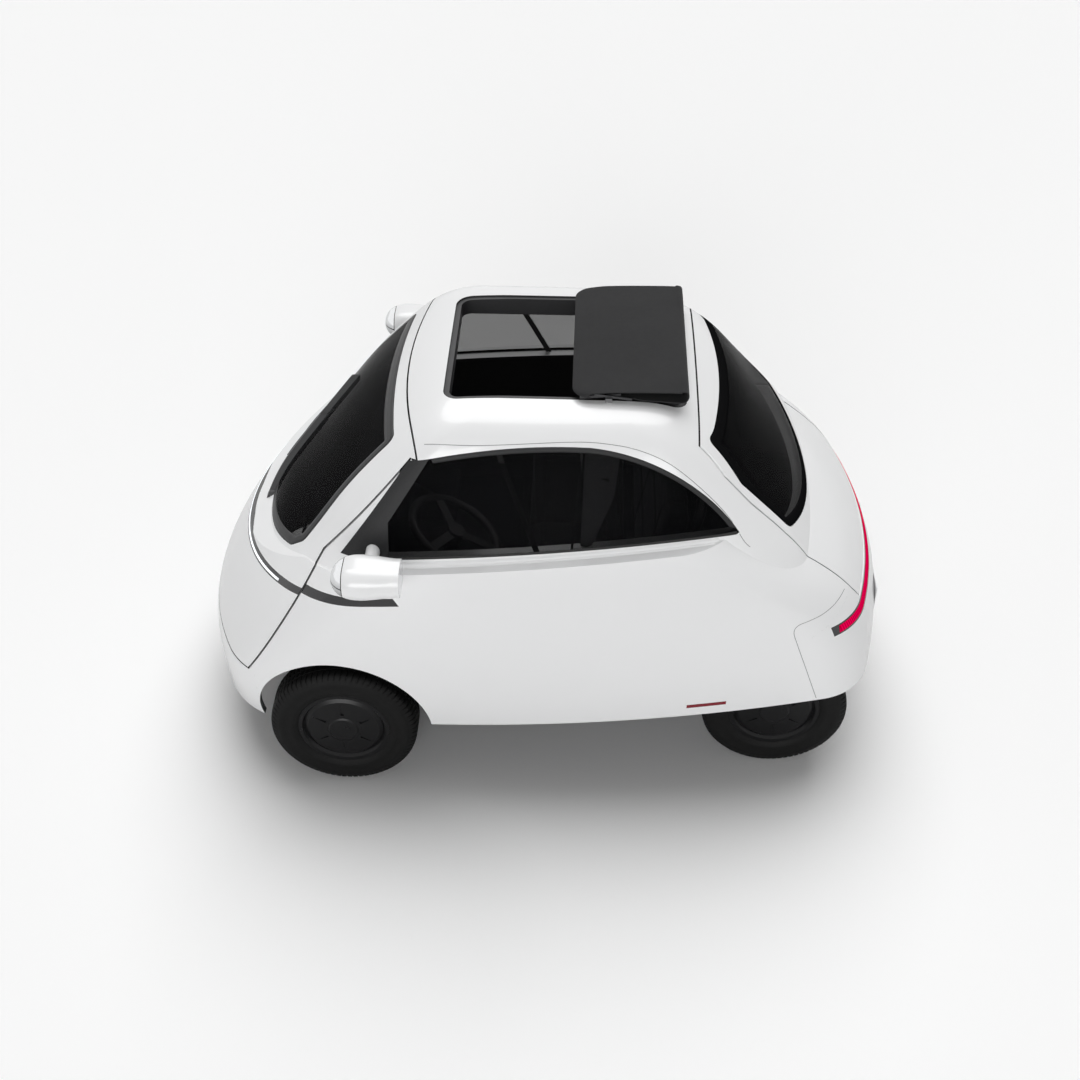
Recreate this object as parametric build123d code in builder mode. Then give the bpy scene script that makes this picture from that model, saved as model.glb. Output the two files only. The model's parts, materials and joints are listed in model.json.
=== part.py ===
"""Egg-shaped two-seat microcar with a front door, a tailgate and a folding roof.

Frame: +Z up, +Y to the rear, +X to the car's left, origin on the ground in the
middle of the car. Millimetres.
"""
from build123d import *
import os
from math import sqrt

os.makedirs("parts", exist_ok=True)

# ---------------------------------------------------------------- driving sizes
LENGTH = 2519.0          # over both bumpers
WIDTH = 1473.0           # over the side panels
ROOF_HEIGHT = 1484.0     # top of the fixed roof skin
WHEELBASE = 1566.0
FRONT_AXLE_Y = -702.0
FRONT_TRACK = 1279.0
REAR_TRACK = 985.0
TYRE_RADIUS = 266.5
TYRE_WIDTH = 145.0
RIM_RADIUS = 165.0       # where the tyre sits on the rim

WALL = 34.0              # body walls and pillars, measured level
ROOF_DROP = 28.0         # the same walls measured straight down
SKIN = 6.0               # glass, lamp and trim inlays
SHUT_GAP = 6.0           # around the door and the tailgate
ARCH_CLEARANCE = 53.5    # tyre to front wheel arch
LINER = 18.0             # arch liner wall
REAR_POCKET_CLEARANCE = 16.0

FLOOR_BOTTOM = 340.0
FLOOR_SHEET = 40.0
BOOT_BOTTOM = 560.0
BOOT_SHEET = 20.0
BULKHEAD_Y = 440.0
BULKHEAD_SHEET = 15.0
TUNNEL_HALF_WIDTH = 380.0    # floor between the front wheels

AXLE_RADIUS = 18.0
SEAT_GAP = 0.3           # between soft or turning pieces and what they lie on
PIN_FIT = 0.05           # running fit of pins and axles
KINGPIN_INBOARD = 54.5   # steering axis to wheel centre plane
KINGPIN_RADIUS = 14.0

SIDE_SWEEP = 6000.0      # radius of the body side seen from above
SIDE_CENTRE_Y = -100.0


def wide(x):
    return x * WIDTH / 1473.0


def far(y):
    return y * LENGTH / 2519.0


def high(z):
    return z * ROOF_HEIGHT / 1484.0


REAR_AXLE_Y = FRONT_AXLE_Y + WHEELBASE
FRONT_WHEEL_X = FRONT_TRACK / 2
REAR_WHEEL_X = REAR_TRACK / 2
ARCH_RADIUS = TYRE_RADIUS + ARCH_CLEARANCE
BODY_SPAN = 2 * LENGTH
FLOOR_TOP = FLOOR_BOTTOM + FLOOR_SHEET

# Horizontal outlines of the body. Columns: height, half width, front end, rear end,
# front radius, front corner radius, rear radius, rear corner radius.
LOWER_RINGS = [
    (200, 662, -1248, 1215, 1100, 330, 1600, 220),
    (400, 718, -1259.5, 1259.5, 1100, 330, 1600, 220),
    (560, 734, -1215, 1248, 1100, 330, 1600, 250),
    (700, 736.5, -1138, 1207, 1050, 330, 1700, 280),
    (850, 727, -1030, 1090, 1000, 330, 1900, 260),
    (1000, 702, -885, 885, 1000, 330, 2000, 260),
    (1140, 660, -740, 700, 1000, 330, 2000, 260),
]
UPPER_RINGS = [
    (700, 690, -1085, 1100, 1200, 240, 2200, 190),
    (850, 680, -990, 1030, 1200, 240, 2200, 190),
    (1000, 650, -868, 930, 1200, 230, 2200, 180),
    (1150, 600, -733, 815, 1500, 190, 1700, 200),
    (1280, 552, -605, 712, 1800, 160, 1500, 210),
    (1370, 512, -508, 625, 2000, 140, 1400, 205),
    (1425, 472, -437, 545, 2000, 130, 1300, 190),
    (1462, 405, -352, 455, 1700, 130, 1200, 160),
    (1484, 300, -250, 300, 1400, 120, 1400, 120),
]

# Half outline of the tailgate seen from behind, as (x, z).
TAILGATE = [(405, 1600), (422, 1400), (466, 1270), (478, 1170), (476, 1040), (452, 790),
            (440, 745)]
TAILGATE_TOP_Y = 527

# Lines of the body seen from the side, as (y, z).
BELT = [(-1400, 580), (-800, 935), (-450, 1000), (740, 1102), (1400, 760)]
DOOR_LINE = [(-424, 1345), (-733, 994), (-805, 870), (-1045, 470)]
ROOF_BOWS = [[(-424, 1352), (-130, 1403), (165, 1414)], [(165, 1414), (477, 1315), (697, 1094)]]
ROOF_FOOT = (900, 1088)
BUMPER_LINE = [(1110, 815), (890, 685), (990, 380)]
APRON_LINE = [(-1020, 464), (-1020, 300), (-940, 150)]
SILL_LINE = [(-470, 284), (1300, 412)]
WINDOW_BOWS = [[(-430, 1336), (-150, 1385), (165, 1394)], [(165, 1394), (462, 1299), (668, 1112)]]
WINDOW_SILL = [(660, 1106), (-480, 1016), (-668, 1010)]
MIRROR_BASE = [(-690, 1000), (-500, 1000), (-500, 1140), (-335, 1390), (-450, 1390)]


def arc_about(centre, radius, start, end):
    """Arc from start to end on a circle, on the side of their chord."""
    middle = (start + end) * 0.5 - centre
    ThreePointArc(start, centre + middle.normalized() * radius, end)


def corner_circle(side_centre, side_radius, end_centre, end_radius, radius, toward):
    """Centre of the corner circle inside the side circle and the end circle."""
    reach_side = side_radius - radius
    reach_end = end_radius - radius
    span = end_centre - side_centre
    distance = span.length
    along = (reach_side ** 2 - reach_end ** 2 + distance ** 2) / (2 * distance)
    height = sqrt(reach_side ** 2 - along ** 2)
    foot = side_centre + span * (along / distance)
    across = Vector(span.Y, -span.X) * (height / distance)
    choices = [foot + across, foot - across]
    right = [point for point in choices if point.X > 0]
    return max(right, key=lambda point: toward * point.Y)


def ring(row, inset, drop):
    """One horizontal outline of eight tangent arcs, drawn smaller by the inset."""
    height, half_width, front, rear, front_r, front_c, rear_r, rear_c = row
    side_r = SIDE_SWEEP - inset
    side = Vector(wide(half_width) - SIDE_SWEEP, far(SIDE_CENTRE_Y))
    ends = []
    for end_y, end_r, corner_r, toward in (
        (far(front) + inset, front_r - inset, front_c - inset, -1),
        (far(rear) - inset, rear_r - inset, rear_c - inset, 1),
    ):
        end = Vector(0, end_y - toward * end_r)
        corner = corner_circle(side, side_r, end, end_r, corner_r, toward)
        on_end = end + (corner - end).normalized() * end_r
        on_side = side + (corner - side).normalized() * side_r
        ends.append((end, end_r, corner, corner_r, on_end, on_side))
    with BuildSketch(Plane.XY.offset(high(height) - drop)) as outline:
        with BuildLine():
            front_end, rear_end = ends
            for flip in (1, -1):
                def side_of(point):
                    return Vector(flip * point.X, point.Y)
                for end, end_r, corner, corner_r, on_end, on_side in ends:
                    arc_about(side_of(corner), corner_r, side_of(on_end), side_of(on_side))
                arc_about(side_of(side), side_r, side_of(front_end[5]), side_of(rear_end[5]))
            for end, end_r, corner, corner_r, on_end, on_side in ends:
                arc_about(end, end_r, on_end, Vector(-on_end.X, on_end.Y))
        make_face()
    return outline.sketch


def body_volume(inset, drop, belt_drop):
    """The whole body as one volume: the lower body up to the belt, then the cabin."""
    loft([ring(row, inset, drop) for row in LOWER_RINGS])
    with BuildSketch(Plane.YZ.move(Location((0, 0, -belt_drop)))) as above_belt:
        with BuildLine():
            line = FilletPolyline(*[(far(y), high(z)) for y, z in BELT], radius=120)
            top = high(1700)
            Polyline(line @ 1, (far(BELT[-1][0]), top), (far(BELT[0][0]), top), line @ 0)
        make_face()
    extrude(above_belt.sketch, amount=WIDTH, both=True, mode=Mode.SUBTRACT)
    loft([ring(row, inset, drop) for row in UPPER_RINGS])


with BuildPart() as outer:
    body_volume(0, 0, 0)
with BuildPart() as hollow:
    body_volume(WALL, ROOF_DROP, WALL)
with BuildPart() as core:
    body_volume(SKIN, SKIN, SKIN)
with BuildPart() as shell:
    add(outer.part)
    add(hollow.part, mode=Mode.SUBTRACT)
with BuildPart() as skin:
    add(outer.part)
    add(core.part, mode=Mode.SUBTRACT)


# ------------------------------------------------------------------- panel zones
def zone(points):
    """A closed outline in the side view's own plane, from (y, z) pairs."""
    with BuildSketch() as outline:
        with BuildLine():
            Polyline(*[(far(y), high(z)) for y, z in points], close=True)
        make_face()
    return outline.sketch


def bowed_zone(bows, corners):
    """A side view outline of arcs through three places each, closed by straight runs."""
    with BuildSketch() as outline:
        with BuildLine():
            for bow in bows:
                ThreePointArc(*[(far(y), high(z)) for y, z in bow])
            closing = [bows[-1][-1], *corners, bows[0][0]]
            Polyline(*[(far(y), high(z)) for y, z in closing])
        make_face()
    return outline.sketch


def mirror_outline(half):
    """A closed outline seen along the car, from (x, z) pairs of its left half."""
    with BuildSketch() as outline:
        with BuildLine():
            points = [(wide(x), high(z)) for x, z in half]
            Polyline(*points, *[(-x, z) for x, z in reversed(points)], close=True)
        make_face()
    return outline.sketch


def grown(face, amount):
    """The same outline, larger all round by the amount."""
    with BuildSketch() as larger:
        add(face)
        offset(amount=amount, kind=Kind.INTERSECTION)
    return larger.sketch


def roof_edge(amount):
    """Front of the curved roof shut line seen from above, moved back by the amount."""
    with BuildSketch(Plane.XY.offset(DOOR_TOP_Z - amount)) as outline:
        with BuildLine():
            ends = [(side * wide(560), far(-389) + amount) for side in (-1, 1)]
            arc = ThreePointArc(ends[0], (0, far(-475) + amount), ends[1])
            Polyline(arc @ 1, (wide(560), far(-900)), (wide(-560), far(-900)), arc @ 0)
        make_face()
    return outline.sketch


NOSE = -1500
TAIL = 1500
SKY = 1700
DOOR_TOP_Z = high(DOOR_LINE[0][1])
door_zone = zone(DOOR_LINE + [(NOSE, DOOR_LINE[-1][1]), (NOSE, DOOR_LINE[0][1])])
tail_zone = mirror_outline(TAILGATE)
ROOF_START = ROOF_BOWS[0][0]
ROOF_LEAD = ROOF_START[0] - 120
roof_zone = bowed_zone(ROOF_BOWS, [ROOF_FOOT, (ROOF_FOOT[0], SKY), (ROOF_LEAD, SKY),
                                   (ROOF_LEAD, ROOF_START[1])])
bumper_zone = zone(BUMPER_LINE + [(TAIL, BUMPER_LINE[-1][1]), (TAIL, BUMPER_LINE[0][1])])
apron_zone = zone([(NOSE, APRON_LINE[0][1])] + APRON_LINE + [(NOSE, APRON_LINE[-1][1])])
below_sill = zone(SILL_LINE + [(1300, 0), (SILL_LINE[0][0], 0)])
window_zone = bowed_zone(WINDOW_BOWS, WINDOW_SILL)
door_clear = grown(door_zone, SHUT_GAP)
tail_clear = grown(tail_zone, SHUT_GAP)


def wheel_pocket(axle_y, radius, inner_x, outer_x, mode=Mode.SUBTRACT):
    """A round space about a wheel on both sides of the car."""
    for flip in (1, -1):
        with Locations(Plane.YZ.offset(flip * (inner_x + outer_x) / 2).location):
            with Locations((axle_y, TYRE_RADIUS)):
                Cylinder(radius, outer_x - inner_x, mode=mode)


def cut_side_view(face, mode=Mode.SUBTRACT):
    """Cut, keep or add what lies inside a side view outline."""
    with BuildSketch(Plane.YZ) as view:
        add(face)
    extrude(view.sketch, amount=WIDTH, both=True, mode=mode)


def cut_rear_view(face, from_y, mode=Mode.SUBTRACT):
    """Cut, keep or add what lies inside an outline seen along the car, behind a place."""
    with BuildSketch(Plane.XZ.offset(-from_y)) as view:
        add(face)
    extrude(view.sketch, amount=-LENGTH, mode=mode)


def cut_tailgate_space():
    cut_rear_view(tail_clear, far(TAILGATE_TOP_Y) - SHUT_GAP)


with BuildSketch() as side_outline:
    with Locations((0, high(800))):
        Rectangle(BODY_SPAN, high(1600))
    for face in (door_clear, roof_zone, bumper_zone, apron_zone, below_sill, window_zone):
        add(face, mode=Mode.SUBTRACT)
    with Locations((FRONT_AXLE_Y, TYRE_RADIUS)):
        Circle(ARCH_RADIUS, mode=Mode.SUBTRACT)


def rear_pocket():
    wheel_pocket(REAR_AXLE_Y, TYRE_RADIUS + REAR_POCKET_CLEARANCE, wide(380),
                 REAR_WHEEL_X + TYRE_WIDTH / 2 + 8)


def finish(part, name):
    part.label = name
    export_step(part, f"parts/{name}.step")


def mirrored(part, name):
    """The right-hand copy of a left-hand piece."""
    other = mirror(part, about=Plane.YZ)
    finish(other, name)


# ------------------------------------------------------------------- body panels
FENDER_BAND = [(-900, 838), (-465, 878), (-485, 908), (-900, 868)]
REFLECTOR = [(530, 402), (670, 412), (670, 430), (530, 420)]
with BuildPart() as side_reflectors:
    add(skin.part)
    cut_side_view(zone(REFLECTOR), Mode.INTERSECT)
finish(side_reflectors.part, "side_reflectors")
with BuildPart() as fender_strips:
    add(skin.part)
    cut_side_view(zone(FENDER_BAND), Mode.INTERSECT)
    cut_side_view(door_clear)
finish(fender_strips.part, "fender_strips")

with BuildPart() as side_left:
    add(shell.part)
    split(bisect_by=Plane.YZ.offset(wide(250)), keep=Keep.TOP)
    cut_side_view(side_outline.sketch, Mode.INTERSECT)
    extrude(roof_edge(SHUT_GAP), amount=high(300), mode=Mode.SUBTRACT)
    cut_tailgate_space()
    rear_pocket()
    add(side_reflectors.part, mode=Mode.SUBTRACT)
    add(fender_strips.part, mode=Mode.SUBTRACT)
finish(side_left.part, "side_left")
mirrored(side_left.part, "side_right")

# Windscreen and rear window seen along the car: top z and half width, widest z and
# half width, corner z and half width, middle of the bottom edge.
WINDSCREEN = ((1352, 405), (948, 462), (900, 428), 814)
REAR_WINDOW = ((1372, 402), (1230, 452), (1042, 446), 958)


def window_outline(sizes):
    """A window seen along the car, with a bowed bottom edge and round corners."""
    (top_z, top_x), (wide_z, wide_x), (corner_z, corner_x), bottom_z = sizes
    with BuildSketch(Plane.XZ) as outline:
        with BuildLine():
            right = Polyline((wide(top_x), high(top_z)), (wide(wide_x), high(wide_z)),
                             (wide(corner_x), high(corner_z)))
            left = Polyline((-wide(top_x), high(top_z)), (-wide(wide_x), high(wide_z)),
                            (-wide(corner_x), high(corner_z)))
            ThreePointArc(right @ 1, (0, high(bottom_z)), left @ 1)
            ThreePointArc(right @ 0, (0, high(top_z + 12)), left @ 0)
        make_face()
        fillet(outline.vertices(), radius=32)
    return outline.sketch


def band(points, height):
    """A strip of one height along an arc through three points, seen along the car."""
    with BuildSketch(Plane.XZ) as outline:
        with BuildLine():
            ThreePointArc(*[(wide(x), high(z)) for x, z in points])
        trace(line_width=height)
    return outline.sketch


windscreen_face = window_outline(WINDSCREEN)
rear_window_face = window_outline(REAR_WINDOW)
NOSE_BAND = [(-800, 912), (0, 758), (800, 912)]
NOSE_BAND_HEIGHT = 26.0
TAIL_BAND = [(-610, 716), (0, 712), (610, 716)]
TAIL_BAND_HEIGHT = 40.0

with BuildPart() as light_strip:
    add(skin.part)
    extrude(band(NOSE_BAND, NOSE_BAND_HEIGHT), amount=LENGTH, mode=Mode.INTERSECT)
    cut_side_view(door_zone, Mode.INTERSECT)
finish(light_strip.part, "light_strip")

with BuildPart() as front_door:
    cut_side_view(door_zone, Mode.ADD)
    extrude(roof_edge(0), amount=high(300))
    add(shell.part, mode=Mode.INTERSECT)
    extrude(windscreen_face, amount=LENGTH, mode=Mode.SUBTRACT)
    add(light_strip.part, mode=Mode.SUBTRACT)
finish(front_door.part, "front_door")

with BuildPart() as windscreen:
    add(skin.part)
    extrude(windscreen_face, amount=LENGTH, mode=Mode.INTERSECT)
finish(windscreen.part, "windscreen")

with BuildPart() as tail_lamp:
    add(skin.part)
    extrude(band(TAIL_BAND, TAIL_BAND_HEIGHT), amount=-LENGTH, mode=Mode.INTERSECT)
finish(tail_lamp.part, "tail_lamp")

# Under its outer skin the tailgate is narrower, so that it swings out past the pillars.
SEAL_DEPTH = 12.0
REBATE = 10.0
with BuildPart() as seal_skin:
    body_volume(SEAL_DEPTH, SEAL_DEPTH, SEAL_DEPTH)
with BuildPart() as tailgate_rebate:
    add(seal_skin.part)
    cut_rear_view(grown(tail_zone, -REBATE), far(0))
with BuildPart() as tailgate:
    add(shell.part)
    cut_rear_view(tail_zone, far(TAILGATE_TOP_Y), Mode.INTERSECT)
    add(tailgate_rebate.part, mode=Mode.SUBTRACT)
    extrude(rear_window_face, amount=-LENGTH, mode=Mode.SUBTRACT)
finish(tailgate.part, "tailgate")
with BuildPart() as rear_window:
    add(skin.part)
    extrude(rear_window_face, amount=-LENGTH, mode=Mode.INTERSECT)
finish(rear_window.part, "rear_window")

PLATE_Y = far(1229)
PLATE_Z = high(560)
PLATE_WIDTH, PLATE_HEIGHT, PLATE_SHEET = 520.0, 112.0, 3.0
with BuildPart() as rear_bumper:
    add(shell.part)
    cut_side_view(bumper_zone, Mode.INTERSECT)
    cut_tailgate_space()
    cut_side_view(below_sill)
    rear_pocket()
    with Locations((0, PLATE_Y + 100, PLATE_Z)):
        Box(PLATE_WIDTH + 24, 200, PLATE_HEIGHT + 24, mode=Mode.SUBTRACT)
    add(tail_lamp.part, mode=Mode.SUBTRACT)
finish(rear_bumper.part, "rear_bumper")
with BuildPart() as number_plate:
    with Locations((0, PLATE_Y + PLATE_SHEET / 2, PLATE_Z)):
        Box(PLATE_WIDTH, PLATE_SHEET, PLATE_HEIGHT)
finish(number_plate.part, "number_plate")

APRON_BOTTOM = high(206)
TOW_SOCKET_X, TOW_SOCKET_Z, TOW_SOCKET_RADIUS = wide(-330), high(300), 11.0
TOW_BOSS_RADIUS, TOW_BOSS_FRONT, TOW_BOSS_REAR = 22.0, far(-1185), far(-1140)
with BuildPart() as front_apron:
    add(shell.part)
    cut_side_view(apron_zone, Mode.INTERSECT)
    split(bisect_by=Plane.XY.offset(APRON_BOTTOM), keep=Keep.TOP)
    with Locations((0, FRONT_AXLE_Y, TYRE_RADIUS)):
        Cylinder(ARCH_RADIUS, 2 * WIDTH, rotation=(0, 90, 0), mode=Mode.SUBTRACT)
    with Locations((TOW_SOCKET_X, (TOW_BOSS_FRONT + TOW_BOSS_REAR) / 2, TOW_SOCKET_Z)):
        Cylinder(TOW_BOSS_RADIUS, TOW_BOSS_REAR - TOW_BOSS_FRONT, rotation=(90, 0, 0))
        Cylinder(TOW_SOCKET_RADIUS, 10 * TOW_BOSS_RADIUS, rotation=(90, 0, 0), mode=Mode.SUBTRACT)
finish(front_apron.part, "front_apron")

# Rubber seals in the shut gaps: round the top and sides of the door, and along the top
# edge of the tailgate. They lie under the outer skin.
with BuildPart() as seal_layer:
    add(seal_skin.part)
    add(hollow.part, mode=Mode.SUBTRACT)
with BuildPart() as door_seal:
    add(seal_layer.part)
    cut_side_view(grown(door_zone, SHUT_GAP - SEAT_GAP), Mode.INTERSECT)
    cut_side_view(grown(door_zone, SEAT_GAP))
    split(bisect_by=Plane.XY.offset(high(DOOR_LINE[-1][1]) + SHUT_GAP), keep=Keep.TOP)
    extrude(roof_edge(SHUT_GAP), amount=high(300), mode=Mode.SUBTRACT)
with BuildPart() as tailgate_seal:
    add(seal_layer.part)
    cut_rear_view(grown(tail_zone, -SHUT_GAP), far(TAILGATE_TOP_Y) - SHUT_GAP + SEAT_GAP, Mode.INTERSECT)
    split(bisect_by=Plane.XZ.offset(-(far(TAILGATE_TOP_Y) - SEAT_GAP)), keep=Keep.TOP)
with BuildPart() as shut_seals:
    add(door_seal.part)
    add(tailgate_seal.part)
finish(shut_seals.part, "shut_seals")

# ------------------------------------------------------------------ roof opening
OPENING_FRONT, OPENING_REAR, OPENING_HALF = far(-329), far(485), wide(332)
OPENING_CORNER = 55.0
RIM_WIDTH = 20.0


def opening_outline(inset):
    with BuildSketch(Plane.XY) as outline:
        with Locations((0, (OPENING_FRONT + OPENING_REAR) / 2)):
            RectangleRounded(2 * (OPENING_HALF - inset), OPENING_REAR - OPENING_FRONT - 2 * inset,
                             OPENING_CORNER - inset)
    return outline.sketch


with BuildSketch() as roof_outline:
    add(roof_zone)
    add(door_clear, mode=Mode.SUBTRACT)
with BuildPart() as roof:
    add(shell.part)
    cut_side_view(roof_outline.sketch, Mode.INTERSECT)
    cut_tailgate_space()
    extrude(roof_edge(SHUT_GAP), amount=high(300), mode=Mode.SUBTRACT)
    extrude(opening_outline(0), amount=high(SKY), mode=Mode.SUBTRACT)
finish(roof.part, "roof")

RIM_BOTTOM = high(1405)
REST_BAR_TOP, REST_BAR_WIDTH, REST_BAR_SHEET = high(1458), 60.0, 30.0
with BuildPart() as roof_rim:
    extrude(opening_outline(0), amount=high(SKY))
    extrude(opening_outline(RIM_WIDTH), amount=high(SKY), mode=Mode.SUBTRACT)
    split(bisect_by=Plane.XY.offset(RIM_BOTTOM), keep=Keep.TOP)
    add(core.part, mode=Mode.INTERSECT)
    with BuildSketch(Plane.XY.offset(REST_BAR_TOP - REST_BAR_SHEET)) as rest_bar:
        add(opening_outline(RIM_WIDTH))
        with Locations((0, -REST_BAR_WIDTH)):
            add(opening_outline(RIM_WIDTH), mode=Mode.SUBTRACT)
    extrude(rest_bar.sketch, amount=REST_BAR_SHEET)
finish(roof_rim.part, "roof_rim")

# -------------------------------------------------------------------- side glass
with BuildPart() as mirror_bases:
    add(skin.part)
    cut_side_view(window_zone, Mode.INTERSECT)
    cut_side_view(zone(MIRROR_BASE), Mode.INTERSECT)
finish(mirror_bases.part, "mirror_bases")
with BuildPart() as side_windows:
    add(skin.part)
    cut_side_view(window_zone, Mode.INTERSECT)
    cut_side_view(zone(MIRROR_BASE))
finish(side_windows.part, "side_windows")

# --------------------------------------------------------------- floor and frame
def flat_box(x0, x1, y0, y1, z0, z1, mode=Mode.ADD):
    """A box between two corners."""
    with Locations(((x0 + x1) / 2, (y0 + y1) / 2, (z0 + z1) / 2)):
        Box(x1 - x0, y1 - y0, z1 - z0, mode=mode)


def both_sides(x0, x1, y0, y1, z0, z1, mode=Mode.ADD):
    """The same box on the left and on the right."""
    flat_box(x0, x1, y0, y1, z0, z1, mode)
    flat_box(-x1, -x0, y0, y1, z0, z1, mode)


JACK_X, JACK_Y, JACK_PAD, JACK_SHEET = wide(500), far(250), 70.0, 8.0
BOOT_END = LENGTH / 2
CABIN_HALF = WIDTH / 2
ARCH_SPACE = ARCH_RADIUS + 10.0
with BuildPart() as floor_pan:
    flat_box(-CABIN_HALF, CABIN_HALF, far(-960), BULKHEAD_Y, FLOOR_BOTTOM, FLOOR_TOP)
    add(hollow.part, mode=Mode.INTERSECT)
    wheel_pocket(FRONT_AXLE_Y, ARCH_SPACE + LINER, TUNNEL_HALF_WIDTH, CABIN_HALF)
    cut_side_view(door_clear)
    for end in (-1, 1):
        both_sides(JACK_X - JACK_PAD / 2, JACK_X + JACK_PAD / 2, end * JACK_Y - JACK_PAD / 2,
                   end * JACK_Y + JACK_PAD / 2, FLOOR_BOTTOM - JACK_SHEET, FLOOR_BOTTOM)
finish(floor_pan.part, "floor_pan")

with BuildPart() as arch_liners:
    wheel_pocket(FRONT_AXLE_Y, ARCH_SPACE + LINER, TUNNEL_HALF_WIDTH, CABIN_HALF, Mode.ADD)
    wheel_pocket(FRONT_AXLE_Y, ARCH_SPACE, TUNNEL_HALF_WIDTH + LINER, CABIN_HALF)
    split(bisect_by=Plane.XY.offset(FLOOR_BOTTOM), keep=Keep.TOP)
    add(hollow.part, mode=Mode.INTERSECT)
finish(arch_liners.part, "arch_liners")

with BuildPart() as boot_floor:
    flat_box(-CABIN_HALF, CABIN_HALF, BULKHEAD_Y, BOOT_END, BOOT_BOTTOM, BOOT_BOTTOM + BOOT_SHEET)
    add(hollow.part, mode=Mode.INTERSECT)
finish(boot_floor.part, "boot_floor")

with BuildPart() as bulkhead:
    flat_box(-CABIN_HALF, CABIN_HALF, BULKHEAD_Y - BULKHEAD_SHEET, BULKHEAD_Y,
             FLOOR_TOP, BOOT_BOTTOM + BOOT_SHEET)
    add(hollow.part, mode=Mode.INTERSECT)
finish(bulkhead.part, "bulkhead")

BATTERY = (wide(330), far(-330), far(200), 200.0)   # half width, front, rear, bottom
with BuildPart() as battery_box:
    half, front, rear, bottom = BATTERY
    flat_box(-half, half, front, rear, bottom, FLOOR_BOTTOM)
finish(battery_box.part, "battery_box")

# ------------------------------------------------------------------------- seat
SEAT_FRONT, SEAT_HALF = far(-60), wide(520)
SEAT_BASE_TOP = high(560)
CUSHION_THICK = 130.0
BACK_THICK = 110.0
BACK_TOP = high(1130)
BACK_LEAN = 95.0
SEAT_WALL = 20.0
seat_rear = BULKHEAD_Y - BULKHEAD_SHEET
with BuildPart() as seat_base:
    flat_box(-SEAT_HALF, SEAT_HALF, SEAT_FRONT, seat_rear, FLOOR_TOP, SEAT_BASE_TOP)
    flat_box(-SEAT_HALF + SEAT_WALL, SEAT_HALF - SEAT_WALL, SEAT_FRONT + SEAT_WALL, seat_rear,
             FLOOR_TOP, SEAT_BASE_TOP - SEAT_WALL, Mode.SUBTRACT)
finish(seat_base.part, "seat_base")

back_face = seat_rear - BACK_THICK + 5.0
with BuildPart() as seat_cushion:
    flat_box(-SEAT_HALF, SEAT_HALF, SEAT_FRONT - 15, back_face,
             SEAT_BASE_TOP + SEAT_GAP, SEAT_BASE_TOP + CUSHION_THICK)
    fillet(seat_cushion.edges(), radius=30)
finish(seat_cushion.part, "seat_cushion")

BACK_BOTTOM = BOOT_BOTTOM + BOOT_SHEET + 60.0
with BuildPart() as seat_back:
    with BuildSketch(Plane.YZ) as back_outline:
        with BuildLine():
            low = back_face + SEAT_GAP
            Polyline((low, BACK_BOTTOM), (low + BACK_LEAN, BACK_TOP),
                     (low + BACK_LEAN + BACK_THICK, BACK_TOP), (low + BACK_THICK, BACK_BOTTOM),
                     close=True)
        make_face()
    extrude(amount=SEAT_HALF, both=True)
    fillet(seat_back.edges(), radius=30)
finish(seat_back.part, "seat_back")

# The hoop behind the seat carries its back and the belts.
HOOP_RADIUS = 19.0
HOOP_X = wide(470)
HOOP_BOTTOM = BOOT_BOTTOM + BOOT_SHEET
HOOP_TOP = high(1180)
lean = BACK_LEAN / (BACK_TOP - BACK_BOTTOM)
hoop_reach = (HOOP_RADIUS + SEAT_GAP) * sqrt(1 + lean ** 2)
hoop_low_y = back_face + SEAT_GAP + BACK_THICK + hoop_reach - lean * (BACK_BOTTOM - HOOP_BOTTOM)
hoop_high_y = hoop_low_y + lean * (HOOP_TOP - HOOP_BOTTOM)
with BuildPart() as seat_hoop:
    with BuildLine() as hoop_path:
        FilletPolyline((-HOOP_X, hoop_low_y, HOOP_BOTTOM), (-HOOP_X, hoop_high_y, HOOP_TOP),
                       (HOOP_X, hoop_high_y, HOOP_TOP), (HOOP_X, hoop_low_y, HOOP_BOTTOM), radius=90)
    with BuildSketch(Plane((-HOOP_X, hoop_low_y, HOOP_BOTTOM), z_dir=hoop_path.line % 0)):
        Circle(HOOP_RADIUS)
    sweep(path=hoop_path.line)
    split(bisect_by=Plane.XY.offset(HOOP_BOTTOM), keep=Keep.TOP)
finish(seat_hoop.part, "seat_hoop")

# ---------------------------------------------------------------- running gear
HUB_Z = TYRE_RADIUS
KINGPIN_X = FRONT_WHEEL_X - KINGPIN_INBOARD
SUBFRAME_HALF = wide(330)
SUBFRAME_BOTTOM, SUBFRAME_TOP = 195.0, 255.0
LOWER_ARM_Z, UPPER_ARM_Z, ARM_SHEET = 185.0, 348.0, 20.0
EYE_RADIUS = 28.0
ARM_SPREAD = 55.0
HUB_RADIUS = 45.0
LINER_WALL_X = TUNNEL_HALF_WIDTH + LINER


def tube_x(x0, x1, y, z, radius, mode=Mode.ADD):
    """A round bar along X between two places."""
    with Locations(((x0 + x1) / 2, y, z)):
        Cylinder(radius, x1 - x0, rotation=(0, 90, 0), mode=mode)


def tube_z(x, y, z0, z1, radius, mode=Mode.ADD):
    """A round bar along Z between two heights."""
    with Locations((x, y, (z0 + z1) / 2)):
        Cylinder(radius, z1 - z0, mode=mode)


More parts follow.
